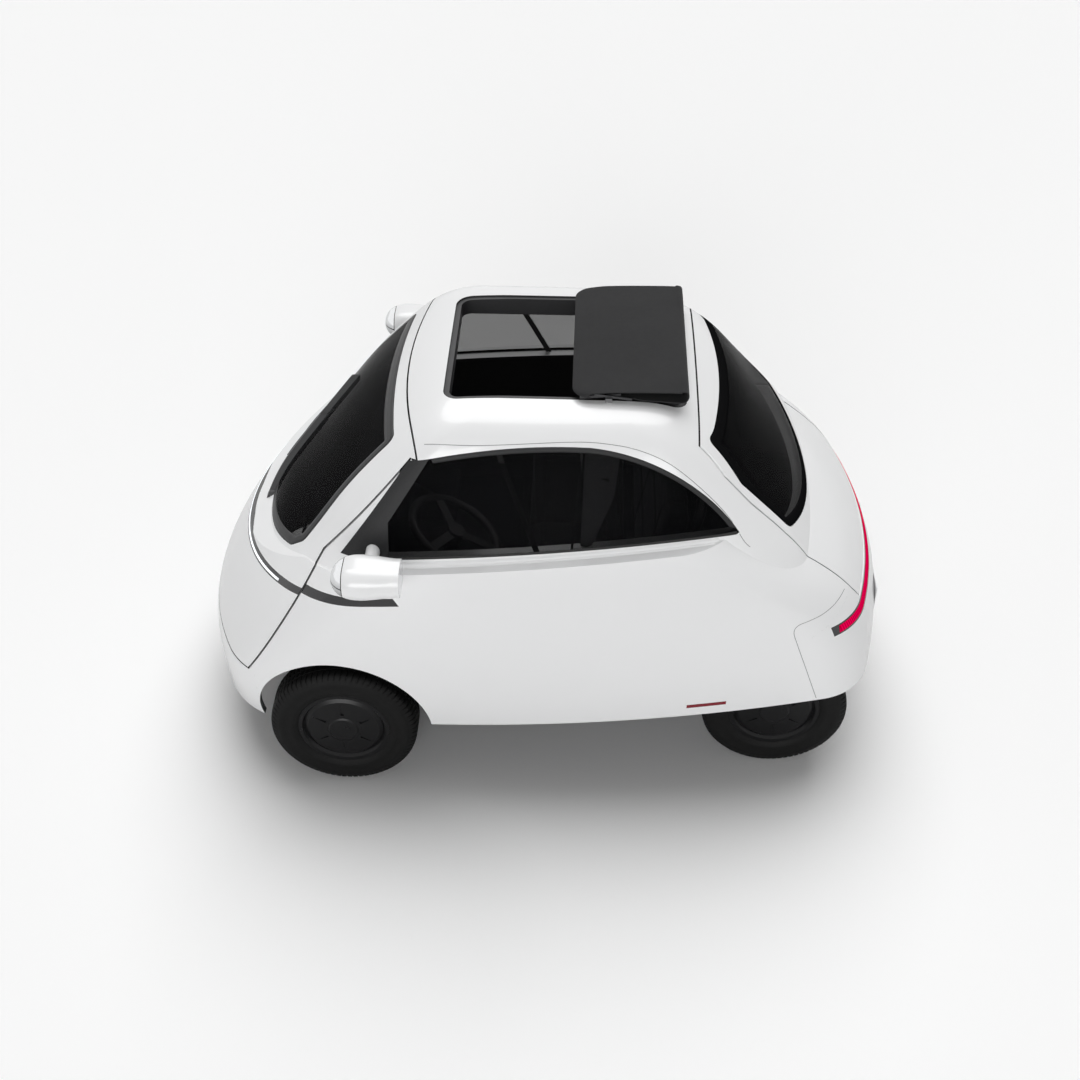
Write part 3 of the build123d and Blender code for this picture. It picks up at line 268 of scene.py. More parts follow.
MATERIALS = {
    "paint": body_paint(),
    "pod": plain_paint(),
    "glass": glass("tinted_glass", (0.003, 0.003, 0.0034), 0.56),
    "screen": glass("screen_glass", (0.004, 0.004, 0.0044), 0.70),
    "lens": headlamp(),
    "lamp_black": moulded("lamp_black", (0.012, 0.012, 0.013), (0.018, 0.018, 0.02), 0.2, 300.0, 0.03,
                          Coat_Weight=0.4),
    "reflector": moulded("red_reflector", (0.16, 0.005, 0.012), (0.24, 0.008, 0.018), 0.2, 500.0, 0.1),
    "trim": moulded("black_trim", (0.012, 0.012, 0.013), (0.022, 0.022, 0.024), 0.55),
    "steel": moulded("coated_steel", (0.02, 0.02, 0.022), (0.035, 0.035, 0.038), 0.45, 200.0, 0.12),
    "floor": moulded("floor_coating", (0.018, 0.018, 0.02), (0.03, 0.03, 0.033), 0.8, 260.0, 0.4),
    "motor": metal("cast_housing", (0.28, 0.28, 0.3), (0.38, 0.38, 0.4), 0.5),
    "rubber": moulded("seal_rubber", (0.008, 0.008, 0.008), (0.014, 0.014, 0.014), 0.75, 500.0, 0.1),
    "tyre": moulded("tyre_rubber", (0.005, 0.005, 0.005), (0.009, 0.009, 0.009), 0.6, 220.0, 0.2,
                    Specular_IOR_Level=0.12),
    "wheel": moulded("wheel_black", (0.004, 0.004, 0.0045), (0.007, 0.007, 0.0075), 0.3, 400.0, 0.05,
                     Specular_IOR_Level=0.22),
    "canvas": woven("roof_canvas", (0.024, 0.024, 0.025), (0.034, 0.034, 0.035), sheen=0.04),
    "seat": woven("seat_cloth", (0.014, 0.014, 0.015), (0.030, 0.030, 0.032), 0.003, 0.2),
    "mirror": metal("mirror_silver", (0.7, 0.7, 0.72), (0.8, 0.8, 0.82), 0.04),
    "plate": moulded("plate_white", (0.74, 0.74, 0.74), (0.8, 0.8, 0.8), 0.4, 300.0, 0.02),
    "frit": moulded("frit_grey", (0.020, 0.020, 0.021), (0.027, 0.027, 0.028), 0.4, 300.0, 0.02,
                    Specular_IOR_Level=0.25),
    "grey_trim": moulded("grey_trim", (0.020, 0.020, 0.021), (0.030, 0.030, 0.031), 0.5, 800.0, 0.2,
                         Specular_IOR_Level=0.2),
    "light": lit("led_white", (0.75, 0.78, 0.8), (0.95, 0.97, 1.0), 0.7),
    "tail": lit("tail_red", (0.5, 0.0, 0.035), (0.76, 0.001, 0.08), 0.3),
    "black_glass": moulded("glass_edge", (0.005, 0.005, 0.0055), (0.008, 0.008, 0.0085), 0.6, 300.0, 0.01,
                           Specular_IOR_Level=0.0),
    "seam": moulded("seam_grey", (0.16, 0.16, 0.162), (0.22, 0.22, 0.222), 0.6, 300.0, 0.02),
    "pillar": moulded("pillar_grey", (0.12, 0.12, 0.124), (0.16, 0.16, 0.165), 0.6, 500.0, 0.1),
    "belt": woven("belt_webbing", (0.035, 0.035, 0.036), (0.06, 0.06, 0.062), 0.0025, 0.1),
    "red": moulded("buckle_red", (0.3, 0.01, 0.015), (0.4, 0.015, 0.02), 0.4, 300.0, 0.05),
}

SLOTS = {m["slot"]: [p["node"] for p in frame["record"]["subparts"] if p["material_slot"] == m["slot"]]
         for m in frame["record"]["materials"]}
SPECIAL = {"mirror_housings": "pod", "windscreen": "screen", "mirror_bases": "grey_trim"}
SLOT_LOOK = {"seat_fabric": "seat"}


def dress(node, look):
    """Give a CAD node its material and smooth its curved faces."""
    mesh = NODES[node].data
    mesh.materials.clear()
    mesh.materials.append(MATERIALS[look])
    for face in mesh.polygons:
        face.use_smooth = True
    mesh.set_sharp_from_angle(angle=math.radians(32))


for slot, nodes in SLOTS.items():
    for node in nodes:
        dress(node, SPECIAL.get(node, SLOT_LOOK.get(slot, slot)))


# ---------------------------------------------------------------------- mesh helpers
def new_piece(name, vertices, faces, look, body, smooth=True):
    mesh = bpy.data.meshes.new(name)
    mesh.from_pydata([tuple(v) for v in vertices], [], faces)
    mesh.validate()
    mesh.update()
    mesh.materials.append(MATERIALS[look])
    for face in mesh.polygons:
        face.use_smooth = smooth
    piece = bpy.data.objects.new(name, mesh)
    bpy.context.scene.collection.objects.link(piece)
    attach(piece, body)
    return piece


def surface_of(*nodes):
    """A tree for finding places on CAD nodes."""
    vertices, faces = [], []
    for node in nodes:
        mesh = NODES[node].data
        start = len(vertices)
        vertices += [v.co.copy() for v in mesh.vertices]
        faces += [[start + i for i in p.vertices] for p in mesh.polygons]
    return BVHTree.FromPolygons(vertices, faces)


def strip_on(name, tree, line, height, lift, look, body, toward, drop=0.0):
    """A thin bar on a surface along a line of places, found by looking along a direction."""
    spots = []
    for place in line:
        hit, normal, _, _ = tree.ray_cast(place - toward * 3.0 - Vector((0, 0, drop)), toward)
        if hit is None:
            continue
        spots.append((hit, normal if normal.dot(toward) < 0 else -normal))
    vertices, faces = [], []
    count = len(spots)
    for index, (hit, normal) in enumerate(spots):
        ahead = spots[min(index + 1, count - 1)][0] - spots[max(index - 1, 0)][0]
        across = normal.cross(ahead.normalized()).normalized()
        for side, rise in ((-0.5, -0.001), (-0.5, lift * 0.6), (-0.3, lift), (0.3, lift), (0.5, lift * 0.6),
                           (0.5, -0.001)):
            vertices.append(hit + across * side * height + normal * rise)
    ring = 6
    for index in range(count - 1):
        for corner in range(ring):
            after = (corner + 1) % ring
            faces.append((index * ring + corner, index * ring + after,
                          (index + 1) * ring + after, (index + 1) * ring + corner))
    faces.append(tuple(range(ring)))
    faces.append(tuple(reversed(range((count - 1) * ring, count * ring))))
    return new_piece(name, vertices, faces, look, body)


def arc_line(ends_x, middle, start, stop, steps):
    """Places on a circle seen along the car: through (x, z) ends and a middle at x = 0."""
    half, end_z = ends_x
    sagitta = end_z - middle
    radius = (half ** 2 + sagitta ** 2) / (2 * sagitta)
    line = []
    for index in range(steps + 1):
        x = start + (stop - start) * index / steps
        z = middle + radius - math.copysign(math.sqrt(radius ** 2 - x ** 2), radius)
        line.append(Vector((x, 0.0, z)))
    return line


# ------------------------------------------------------------------- thin trim
def smooth_line(handles, steps=7):
    """A smooth curve through every handle."""
    line = []
    for index in range(len(handles) - 1):
        before = handles[max(index - 1, 0)]
        start, end = handles[index], handles[index + 1]
        after = handles[min(index + 2, len(handles) - 1)]
        for step in range(steps):
            t = step / steps
            line.append(tuple(0.5 * (2 * b + (c - a) * t + (2 * a - 5 * b + 4 * c - d) * t ** 2
                                     + (3 * b - a - 3 * c + d) * t ** 3)
                              for a, b, c, d in zip(before, start, end, after)))
    return line + [handles[-1]]


ACROSS, FORWARD = Vector((-1, 0, 0)), Vector((0, 1, 0))


def plane_axes(toward):
    """The two axes of a view along X or along Y."""
    return (Vector((0, 1, 0)) if abs(toward.x) > 0.5 else Vector((1, 0, 0))), Vector((0, 0, 1))


def outline_of(tree, centre, toward, steps=240, reach=1.2):
    """The edge of a surface as a view along an axis shows it, as places in that view."""
    across, up = plane_axes(toward)
    edge = []
    for index in range(steps):
        angle = 2 * math.pi * index / steps
        away = across * math.cos(angle) + up * math.sin(angle)
        inside, outside = 0.0, reach
        for _ in range(14):
            middle = (inside + outside) / 2
            start = centre + away * middle - toward * 4.0
            if tree.ray_cast(start, toward, 4.0)[0]:
                inside = middle
            else:
                outside = middle
        edge.append(centre + away * inside)
    return edge


def moved_in(edge, distance, toward):
    """A closed outline moved inward by a distance."""
    count = len(edge)
    centre = sum(edge, Vector()) / count
    moved = []
    for index, place in enumerate(edge):
        along = (edge[(index + 2) % count] - edge[index - 2]).normalized()
        inward = along.cross(toward).normalized()
        if inward.dot(centre - place) < 0:
            inward = -inward
        moved.append(place + inward * distance)
    return moved


def ribbon(name, tree, outer, inner, toward, lift, look, body, closed=False, columns=3, back=0.0015):
    """A thin strip on a surface between two lines of places, with a rolled edge."""
    rows = []
    for first, last in zip(outer, inner):
        row = []
        for column in range(columns + 1):
            place = first.lerp(last, column / columns)
            hit, normal, _, _ = tree.ray_cast(place - toward * 4.0, toward, 4.0)
            if hit is None:
                break
            row.append((hit, normal if normal.dot(toward) < 0 else -normal))
        if len(row) == columns + 1:
            rows.append(row)
    vertices, faces = [], []
    width = columns + 3
    for row in rows:
        vertices.append(row[0][0] - row[0][1] * back)
        for column, (hit, normal) in enumerate(row):
            edge = column in (0, columns)
            vertices.append(hit + normal * lift * (0.5 if edge else 1.0))
        vertices.append(row[-1][0] - row[-1][1] * back)
    count = len(rows)
    for index in range(count if closed else count - 1):
        after = (index + 1) % count
        for column in range(width - 1):
            faces.append((index * width + column, index * width + column + 1,
                          after * width + column + 1, after * width + column))
    return new_piece(name, vertices, faces, look, body)


def window_trim():
    """Grey frame over and behind each side window, black seal under it."""
    glass_tree = surface_of("side_windows")
    centre = Vector((0.0, 0.08, 1.2))
    for side, toward in (("left", ACROSS), ("right", -ACROSS)):
        edge = moved_in(outline_of(glass_tree, centre, toward), 0.001, toward)
        inner = moved_in(edge, GLASS_TRIM, toward)
        sill = [place.z < 1.032 + 0.079 * (place.y + 0.48) for place in edge]
        front = [place.y < -0.36 for place in edge]
        top = [i for i in range(len(edge)) if not sill[i] and not front[i]]
        start = next(i for i in top if (i - 1) % len(edge) not in top)
        run = []
        while start % len(edge) in top:
            run.append(start % len(edge))
            start += 1
        ribbon(f"window_frame_{side}", glass_tree, [edge[i] for i in run], [inner[i] for i in run], toward,
               0.0016, "grey_trim", "body")
        low = [i for i in range(len(edge)) if sill[i] and edge[i].y > -0.495]
        low.sort(key=lambda i: edge[i].y)
        narrow = moved_in(edge, 0.008, toward)
        ribbon(f"window_seal_{side}", glass_tree, [edge[i] for i in low], [narrow[i] for i in low], toward,
               0.002, "rubber", "body")


def screen_frit():
    """The printed border of the windscreen and of the rear window."""
    for node, toward, centre in (("windscreen", FORWARD, Vector((0, 0, 1.12))),
                                 ("rear_window", -FORWARD, Vector((0, 0, 1.18)))):
        tree = surface_of(node)
        edge = moved_in(outline_of(tree, centre, toward), 0.002, toward)
        look = "frit" if node == "windscreen" else "black_glass"
        ribbon(f"{node}_border", tree, edge, moved_in(edge, SCREEN_FRIT, toward), toward, 0.0006, look,
               BODY_OF[node], closed=True)


LED_END, TAIL_END = 0.52, 0.592      # half length of the nose's light line and of the tail's core


def light_lines():
    """White light line in the front strip, red light guide in the tail lamp."""
    nose = surface_of("light_strip")
    led = arc_line((0.8, 0.912), 0.758, -LED_END, LED_END, 90)
    strip_on("led_line", nose, led, 0.0085, 0.0012, "light", BODY_OF["light_strip"], FORWARD,
             drop=0.004)
    tail = surface_of("tail_lamp")
    core = arc_line((0.61, 0.716), 0.712, -TAIL_END, TAIL_END, 120)
    strip_on("tail_core", tail, core, 0.028, 0.0015, "tail", "body", -FORWARD)


def strap(name, places, width, thick, wide_axis, look, body):
    """A flat bar along a line of places, wide along one direction."""
    vertices, faces = [], []
    for index, place in enumerate(places):
        along = places[min(index + 1, len(places) - 1)] - places[max(index - 1, 0)]
        rise = along.normalized().cross(wide_axis).normalized() * thick / 2
        reach = wide_axis.normalized() * width / 2
        vertices += [place - reach - rise, place + reach - rise, place + reach + rise, place - reach + rise]
    for index in range(len(places) - 1):
        for corner in range(4):
            after = (corner + 1) % 4
            start = index * 4
            faces.append((start + corner, start + after, start + 4 + after, start + 4 + corner))
    last = 4 * (len(places) - 1)
    faces += [(3, 2, 1, 0), (last, last + 1, last + 2, last + 3)]
    piece = new_piece(name, vertices, faces, look, body)
    piece.data.set_sharp_from_angle(angle=math.radians(35))
    return piece


def behind_glass(tree, y, z, side, depth):
    """A place behind the side glass by a depth."""
    toward = Vector((-side, 0, 0))
    hit = tree.ray_cast(Vector((side * 4.0, y, z)), toward, 4.0)[0]
    return hit + toward * depth if hit else None


BAR_THICK, BAR_DEPTH, BAR_STEPS = 0.006, 0.012, 12
# Each bar's top and foot as (y, z), and its width.
BARS = {"sash_bar": ((-0.135, 1.375), (0.000, 1.045), 0.020),
        "upright_bar": ((0.140, 1.385), (0.112, 1.058), 0.008)}
PILLAR_TOP, PILLAR_DROP, PILLAR_STEPS, PILLAR_DEPTH = 1.385, 0.345, 16, 0.030


def inner_bars():
    """The slanted sash bar, the upright bar and the pillar trim behind each side window."""
    tree = surface_of("side_windows", "side_left", "side_right")
    for side, label in ((1, "left"), (-1, "right")):
        for name, (top, foot, width) in BARS.items():
            places = []
            for step in range(BAR_STEPS + 1):
                y = top[0] + (foot[0] - top[0]) * step / BAR_STEPS
                z = top[1] + (foot[1] - top[1]) * step / BAR_STEPS
                places.append(behind_glass(tree, y, z, side, BAR_DEPTH))
            strap(f"{name}_{label}", [p for p in places if p], width, BAR_THICK, Vector((0, 1, 0)),
                  "rubber", "body")
        vertices, faces = [], []
        for index in range(PILLAR_STEPS + 1):
            t = index / PILLAR_STEPS
            z = PILLAR_TOP - PILLAR_DROP * t
            front = 0.150 - 0.010 * t
            rear = 0.268 - 0.040 * t - 0.060 * max(t - 0.45, 0.0) / 0.55
            for column in range(5):
                y = front + (rear - front) * column / 4
                bow = 0.016 * math.sin(math.pi * column / 4)
                vertices.append(behind_glass(tree, y, z, side, PILLAR_DEPTH - bow * 0.6))
        for index in range(PILLAR_STEPS):
            for column in range(4):
                start = index * 5 + column
                faces.append((start, start + 1, start + 6, start + 5))
        new_piece(f"pillar_trim_{label}", vertices, faces, "pillar", "body")


def belts_and_buckles():
    """A belt from each pillar down to the seat, and the two red-topped buckles between the places."""
    for side, label in ((1, "left"), (-1, "right")):
        top, foot = Vector((side * 0.520, 0.205, 1.290)), Vector((side * 0.500, 0.330, 0.700))
        places = []
        for index in range(15):
            t = index / 14
            places.append(top.lerp(foot, t) + Vector((-side * 0.03 * math.sin(math.pi * t), 0, 0)))
        strap(f"belt_{label}", places, 0.046, 0.0016, Vector((0.15 * side, 1, 0.2)), "belt", "body")
        stalk = Vector((side * 0.10, 0.262, 0.688))
        lift = Vector((0.0, -0.055, 0.075))
        strap(f"buckle_stalk_{label}", [stalk, stalk + lift * 0.5, stalk + lift], 0.024, 0.014,
              Vector((1, 0, 0)), "trim", "body")
        strap(f"buckle_button_{label}", [stalk + lift * 0.97, stalk + lift * 1.16], 0.020, 0.012,
              Vector((1, 0, 0)), "red", "body")


def seam_on(name, tree, places, width, look):
    """A fine line drawn on the skin through a few places."""
    line = [Vector(place) for place in smooth_line(places, 10)]
    hits = []
    for place in line:
        hit, normal, _, _ = tree.find_nearest(place)
        hits.append((hit, normal if normal.dot(place - Vector(BODY_CENTRE)) > 0 else -normal))
    vertices, faces = [], []
    for index, (hit, normal) in enumerate(hits):
        along = hits[min(index + 1, len(hits) - 1)][0] - hits[max(index - 1, 0)][0]
        across = normal.cross(along.normalized()).normalized() * width / 2
        vertices += [hit - across - normal * 0.0006, hit - across * 0.5 + normal * 0.0004,
                     hit + across * 0.5 + normal * 0.0004, hit + across - normal * 0.0006]
    for index in range(len(hits) - 1):
        for column in range(3):
            start = index * 4 + column
            faces.append((start, start + 1, start + 5, start + 4))
    return new_piece(name, vertices, faces, look, "body")


SEAM_LINE = 0.003                    # width of a fine seam in the paint


def seams():
    """The bumper's side seam and the fine line along the roof's edge, on both sides."""
    skin = surface_of("side_left", "side_right", "rear_bumper", "roof", "tailgate")
    bumper = [(0.489, 1.061, 0.811), (0.564, 1.020, 0.806), (0.610, 0.974, 0.798), (0.639, 0.923, 0.790),
              (0.651, 0.889, 0.779), (0.655, 0.878, 0.751), (0.654, 0.894, 0.698), (0.644, 0.940, 0.568),
              (0.617, 0.996, 0.402)]
    roof = [(0.490, -0.380, 1.395), (0.496, -0.224, 1.396), (0.493, -0.108, 1.400), (0.483, 0.108, 1.409),
            (0.482, 0.217, 1.404), (0.488, 0.325, 1.385), (0.504, 0.434, 1.339), (0.525, 0.546, 1.249),
            (0.545, 0.629, 1.163), (0.569, 0.683, 1.085), (0.574, 0.707, 1.060)]
    for side, label in ((1, "left"), (-1, "right")):
        for name, places in (("bumper_seam", bumper), ("roof_seam", roof)):
            mirrored = [(x * side, y, z) for x, y, z in places]
            seam_on(f"{name}_{label}", skin, mirrored, SEAM_LINE, "seam")


BELT_START, BELT_END, BELT_STEPS = -0.47, 0.60, 60
BELT_RISE, BELT_REACH = 0.009, 0.022


def belt_mouldings():
    """A painted moulding over the slot in the solids between the cabin wall and the belt ledge."""
    skin = surface_of("side_left", "side_right", "side_windows")
    for side, label in ((1, "left"), (-1, "right")):
        inward, down = Vector((-side, 0, 0)), Vector((0, 0, -1))
        vertices, faces, rows = [], [], 0
        for step in range(BELT_STEPS + 1):
            y = BELT_START + (BELT_END - BELT_START) * step / BELT_STEPS
            ledge = 1.0388 + 0.0839 * y
            wall = skin.ray_cast(Vector((side * 2.0, y, ledge + BELT_RISE)), inward)[0]
            if wall is None:
                continue
            tread = skin.ray_cast(wall + Vector((side * BELT_REACH, 0, 0.05)), down)[0]
            if tread is None or tread.z < ledge - 0.03:
                continue
            vertices += [wall + inward * 0.002, wall - inward * 0.0005]
            for turn in (0.25, 0.5, 0.75):
                angle = math.pi / 2 * turn
                vertices.append(Vector((tread.x + (wall.x - tread.x) * math.sin(math.pi / 2 - angle), y,
                                        wall.z + (tread.z - wall.z) * math.sin(angle))))
            vertices += [tread - down * 0.0005, tread + down * 0.002]
            rows += 1
        for index in range(rows - 1):
            for column in range(6):
                start = index * 7 + column
                faces.append((start, start + 1, start + 8, start + 7))
        new_piece(f"belt_moulding_{label}", vertices, faces, "pod", "body")


window_trim()
screen_frit()
light_lines()
inner_bars()
belts_and_buckles()
seams()
belt_mouldings()


# ------------------------------------------------------------------------ tyres
def tyre_profile():
    """Half of a tyre's section from the middle of its tread: distance across, radius, groove depth."""
    wheel_low, wheel_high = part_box("wheel_front_left")
    rim = (wheel_high[2] - wheel_low[2]) / 2
    low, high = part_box("tyre_front_left")
    radius, half = (high[2] - low[2]) / 2, TYRE_WIDTH / 2
    groove, edge = 0.0028, 0.0005
    profile = []
    for middle in (0.0, 0.026):
        start = max(middle - groove, 0.0)
        if middle:
            profile += [(start - edge, radius - 0.0002, 0.25)]
            profile += [(start + edge, radius - TREAD_DEPTH, 0.0)]
        else:
            profile += [(0.0, radius - TREAD_DEPTH, 0.0)]
        profile += [(middle + groove - edge, radius - TREAD_DEPTH, 0.0),
                    (middle + groove + edge, radius - 0.0003, 0.8)]
        profile += [(middle + 0.011, radius - 0.0005, 0.0 if middle == 0 else 1.0)]
    profile += [(0.045, radius - 0.0012, 1.0), (0.053, radius - 0.003, 1.0), (0.0595, radius - 0.0075, 1.0),
                (0.0645, radius - 0.015, 0.8), (0.067, radius - 0.021, 0.0), (0.0705, radius - 0.031, 0.0),
                (0.0715, radius - 0.033, 0.0), (half - 0.0003, radius - 0.043, 0.0),
                (half - 0.0002, (radius + rim) / 2, 0.0),
                (0.0700, rim + 0.030, 0.0), (0.0712, rim + 0.027, 0.0), (0.0690, rim + 0.018, 0.0),
                (0.0655, rim + 0.009, 0.0), (0.0625, rim + 0.003, 0.0), (0.0600, rim + 0.0005, 0.0)]
    return profile


def tyre_mesh():
    """Tread blocks, cut by slots that run over the shoulder, on a round sidewall."""
    profile = tyre_profile()
    ring = [(-x, radius, cut) for x, radius, cut in reversed(profile[1:])] + profile
    slot = (0.0, 0.05, 0.19, 0.24, 0.62)
    depth = (0.0, 1.0, 1.0, 0.0, 0.0)
    vertices, faces = [], []
    for pitch in range(TREAD_PITCHES):
        for place, cut_here in zip(slot, depth):
            for x, radius, cut in ring:
                lean = 0.10 * abs(x) / TYRE_WIDTH + (0.5 / TREAD_PITCHES if x < 0 else 0.0)
                angle = 2 * math.pi * ((pitch + place) / TREAD_PITCHES) + lean
                reach = radius - cut_here * cut * 0.0045
                vertices.append((x, math.cos(angle) * reach, math.sin(angle) * reach))
    width, count = len(ring), TREAD_PITCHES * len(slot)
    for index in range(count):
        after = (index + 1) % count
        for column in range(width):
            nearby = (column + 1) % width
            faces.append((index * width + column, after * width + column,
                          after * width + nearby, index * width + nearby))
    return vertices, faces


def set_tyres():
    shape, faces = tyre_mesh()
    for end in ("front", "rear"):
        for side in ("left", "right"):
            node = f"tyre_{end}_{side}"
            low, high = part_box(node)
            middle = Vector([(a + b) / 2 for a, b in zip(low, high)])
            turn = -1 if side == "right" else 1
            vertices = [(middle.x + x * turn, middle.y + y * turn, middle.z + z) for x, y, z in shape]
            piece = new_piece(f"tread_{end}_{side}", vertices, faces, "tyre", BODY_OF[node])
            piece.data.set_sharp_from_angle(angle=math.radians(40))
            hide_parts(node)


set_tyres()


# ------------------------------------------------------------------- soft goods
def swell(piece, voxel, most):
    """Remesh a pad, let its cloth swell a little, and keep every point near its start."""
    scene = bpy.context.scene
    bpy.context.view_layer.objects.active = piece
    piece.select_set(True)
    remesh = piece.modifiers.new("remesh", "REMESH")
    remesh.mode, remesh.voxel_size, remesh.use_smooth_shade = "VOXEL", voxel, True
    bpy.ops.object.modifier_apply(modifier=remesh.name)
    start = [v.co.copy() for v in piece.data.vertices]
    cloth = piece.modifiers.new("cloth", "CLOTH")
    cloth.settings.use_pressure = True
    cloth.settings.uniform_pressure_force = 4.0
    cloth.settings.effector_weights.gravity = 0.0
    for frame_number in range(1, 21):
        scene.frame_set(frame_number)
    bpy.ops.object.modifier_apply(modifier=cloth.name)
    scene.frame_set(1)
    for vertex, place in zip(piece.data.vertices, start):
        move = vertex.co - place
        if move.length > most:
            vertex.co = place + move.normalized() * most
    return piece


def sew(piece, seams, depth, width):
    """Press sewn channels into a pad: each seam gives a place's distance from its line."""
    normals = [vertex.normal.copy() for vertex in piece.data.vertices]
    for vertex, normal in zip(piece.data.vertices, normals):
        press = sum(math.exp(-(seam(vertex.co) / width) ** 2) for seam in seams)
        vertex.co -= normal * depth * min(press, 1.0)


def finish_pad(piece, node):
    """Smooth a swollen pad once, dress it and let it stand for its CAD node."""
    smooth = piece.modifiers.new("smooth", "SUBSURF")
    smooth.levels = smooth.render_levels = 1
    bpy.context.view_layer.objects.active = piece
    bpy.ops.object.modifier_apply(modifier=smooth.name)
    for face in piece.data.polygons:
        face.use_smooth = True
    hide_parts(node)


def start_pad(name, low, high, body, round_by=0.03, lean=0.0):
    """A rounded block, leaning back with height, from which a pad swells."""
    mesh = bpy.data.meshes.new(name)
    made = bmesh.new()
    bmesh.ops.create_cube(made, size=1.0)
    size, middle = high - low, (low + high) / 2
    for vertex in made.verts:
        vertex.co = Vector([vertex.co[i] * size[i] + middle[i] for i in range(3)])
    bmesh.ops.bevel(made, geom=list(made.edges), offset=round_by, segments=4, profile=0.6,
                    affect="EDGES", clamp_overlap=True)
    for vertex in made.verts:
        vertex.co.y += lean * (vertex.co.z - low.z) / size.z
    made.to_mesh(mesh)
    made.free()
    mesh.materials.append(MATERIALS["seat"])
    piece = bpy.data.objects.new(name, mesh)
    bpy.context.scene.collection.objects.link(piece)
    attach(piece, body)
    return piece


PAD_MARGIN = Vector((0.010, 0.010, 0.009))
PAD_SWELL = 0.0085
PAD_VOXEL = 0.008
SEAM_DEPTH, SEAM_WIDTH = 0.006, 0.007
BACK_LEAN = 0.095                    # how far the back's top leans behind its foot


def set_seat():
    """The bench: a crowned cushion and a leaning back, each with sewn channels."""
    low, high = (Vector(corner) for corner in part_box("seat_cushion"))
    base = low.z
    inner_low, inner_high = low + PAD_MARGIN, high - PAD_MARGIN
    inner_low.z = base + 0.001
    cushion = swell(start_pad("bench_cushion", inner_low, inner_high, "body"), PAD_VOXEL, PAD_SWELL)
    finish_pad(cushion, "seat_cushion")
    crossing = low.y + 0.075
    sew(cushion, [lambda p: p.x, lambda p: abs(p.x) - 0.40,
                  lambda p: p.y - crossing if abs(p.x) < 0.40 and p.z > base + 0.06 else 1.0,
                  lambda p: p.y - crossing - 0.15 if abs(p.x) < 0.40 and p.z > base + 0.06 else 1.0],
        SEAM_DEPTH, SEAM_WIDTH)
    for vertex in cushion.data.vertices:
        vertex.co.z = max(vertex.co.z, base + 0.0005)
    low, high = (Vector(corner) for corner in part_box("seat_back"))
    inner_low, inner_high = low + PAD_MARGIN, high - PAD_MARGIN
    inner_high.y -= BACK_LEAN
    block = start_pad("bench_back", inner_low, inner_high, "body", lean=BACK_LEAN)
    back = swell(block, PAD_VOXEL, PAD_SWELL)
    finish_pad(back, "seat_back")
    sew(back, [lambda p: p.x, lambda p: abs(p.x) - 0.40, lambda p: p.z - high.z + 0.13,
               lambda p: p.z - high.z + 0.30 if abs(p.x) < 0.40 else 1.0], SEAM_DEPTH, SEAM_WIDTH)


CROWN = 0.006                        # how far the folded roof droops to its sides
PLY_HALF, LOWEST_PLY_HALF = 0.312, 0.304


def fold_line():
    """The folded fabric seen from the side: top panel, rolled rear end, and plies beneath it."""
    low, high = (Vector(corner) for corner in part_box("folding_roof"))
    front, rear, top, under = low.y, high.y, high.z, low.z
    handles = [(front + 0.020, top - 0.0300), (front + 0.003, top - 0.0270), (front + 0.004, top - 0.0195),
               (front + 0.030, top - 0.0140), (front + 0.150, top - 0.0060), (rear - 0.090, top - 0.0030),
               (rear - 0.022, top - 0.0040), (rear - 0.005, top - 0.0120), (rear - 0.003, top - 0.0300),
               (rear - 0.014, top - 0.0450), (rear - 0.040, top - 0.0480), (rear - 0.110, top - 0.0440),
               (front + 0.160, top - 0.0430), (front + 0.118, top - 0.0460), (front + 0.108, top - 0.0520),
               (front + 0.122, top - 0.0570), (front + 0.200, top - 0.0570), (rear - 0.090, top - 0.0590),
               (rear - 0.030, top - 0.0640)]
    return [(y, max(z, under + FABRIC / 2)) for y, z in handles]


def ply_reach(along, half, below, lowest):
    """Half the width of a ply at a distance behind the front edge."""
    if not below:
        return half
    if lowest:
        return LOWEST_PLY_HALF
    open_by = min(max((along - 0.13) / 0.12, 0.0), 1.0)
    return PLY_HALF + (half - 0.001 - PLY_HALF) * open_by * open_by * (3 - 2 * open_by)


def roof_linkage():
    """The folding arms under the fabric's front, one pair each side, and their slide blocks."""
    for side, label in ((1, "left"), (-1, "right")):
        x, upright = side * 0.327, Vector((0, 0.2, 1))
        outer = x + side * 0.007
        long_arm = [Vector((x, y, z)) for y, z in ((0.128, 1.4800), (0.190, 1.4860), (0.262, 1.4925))]
        short_arm = [Vector((outer, y, z)) for y, z in ((0.300, 1.4800), (0.236, 1.4880), (0.176, 1.4960))]
        strap(f"fold_arm_{label}", long_arm, 0.010, 0.005, upright, "steel", "body")
        strap(f"fold_link_{label}", short_arm, 0.008, 0.004, upright, "steel", "body")
        block = Vector((x + side * 0.012, 0.212, 1.4790))
        run = [block, block + FORWARD * 0.012, block + FORWARD * 0.022]
        strap(f"fold_block_{label}", run, 0.014, 0.010, Vector((0, 0, 1)), "pillar", "body")


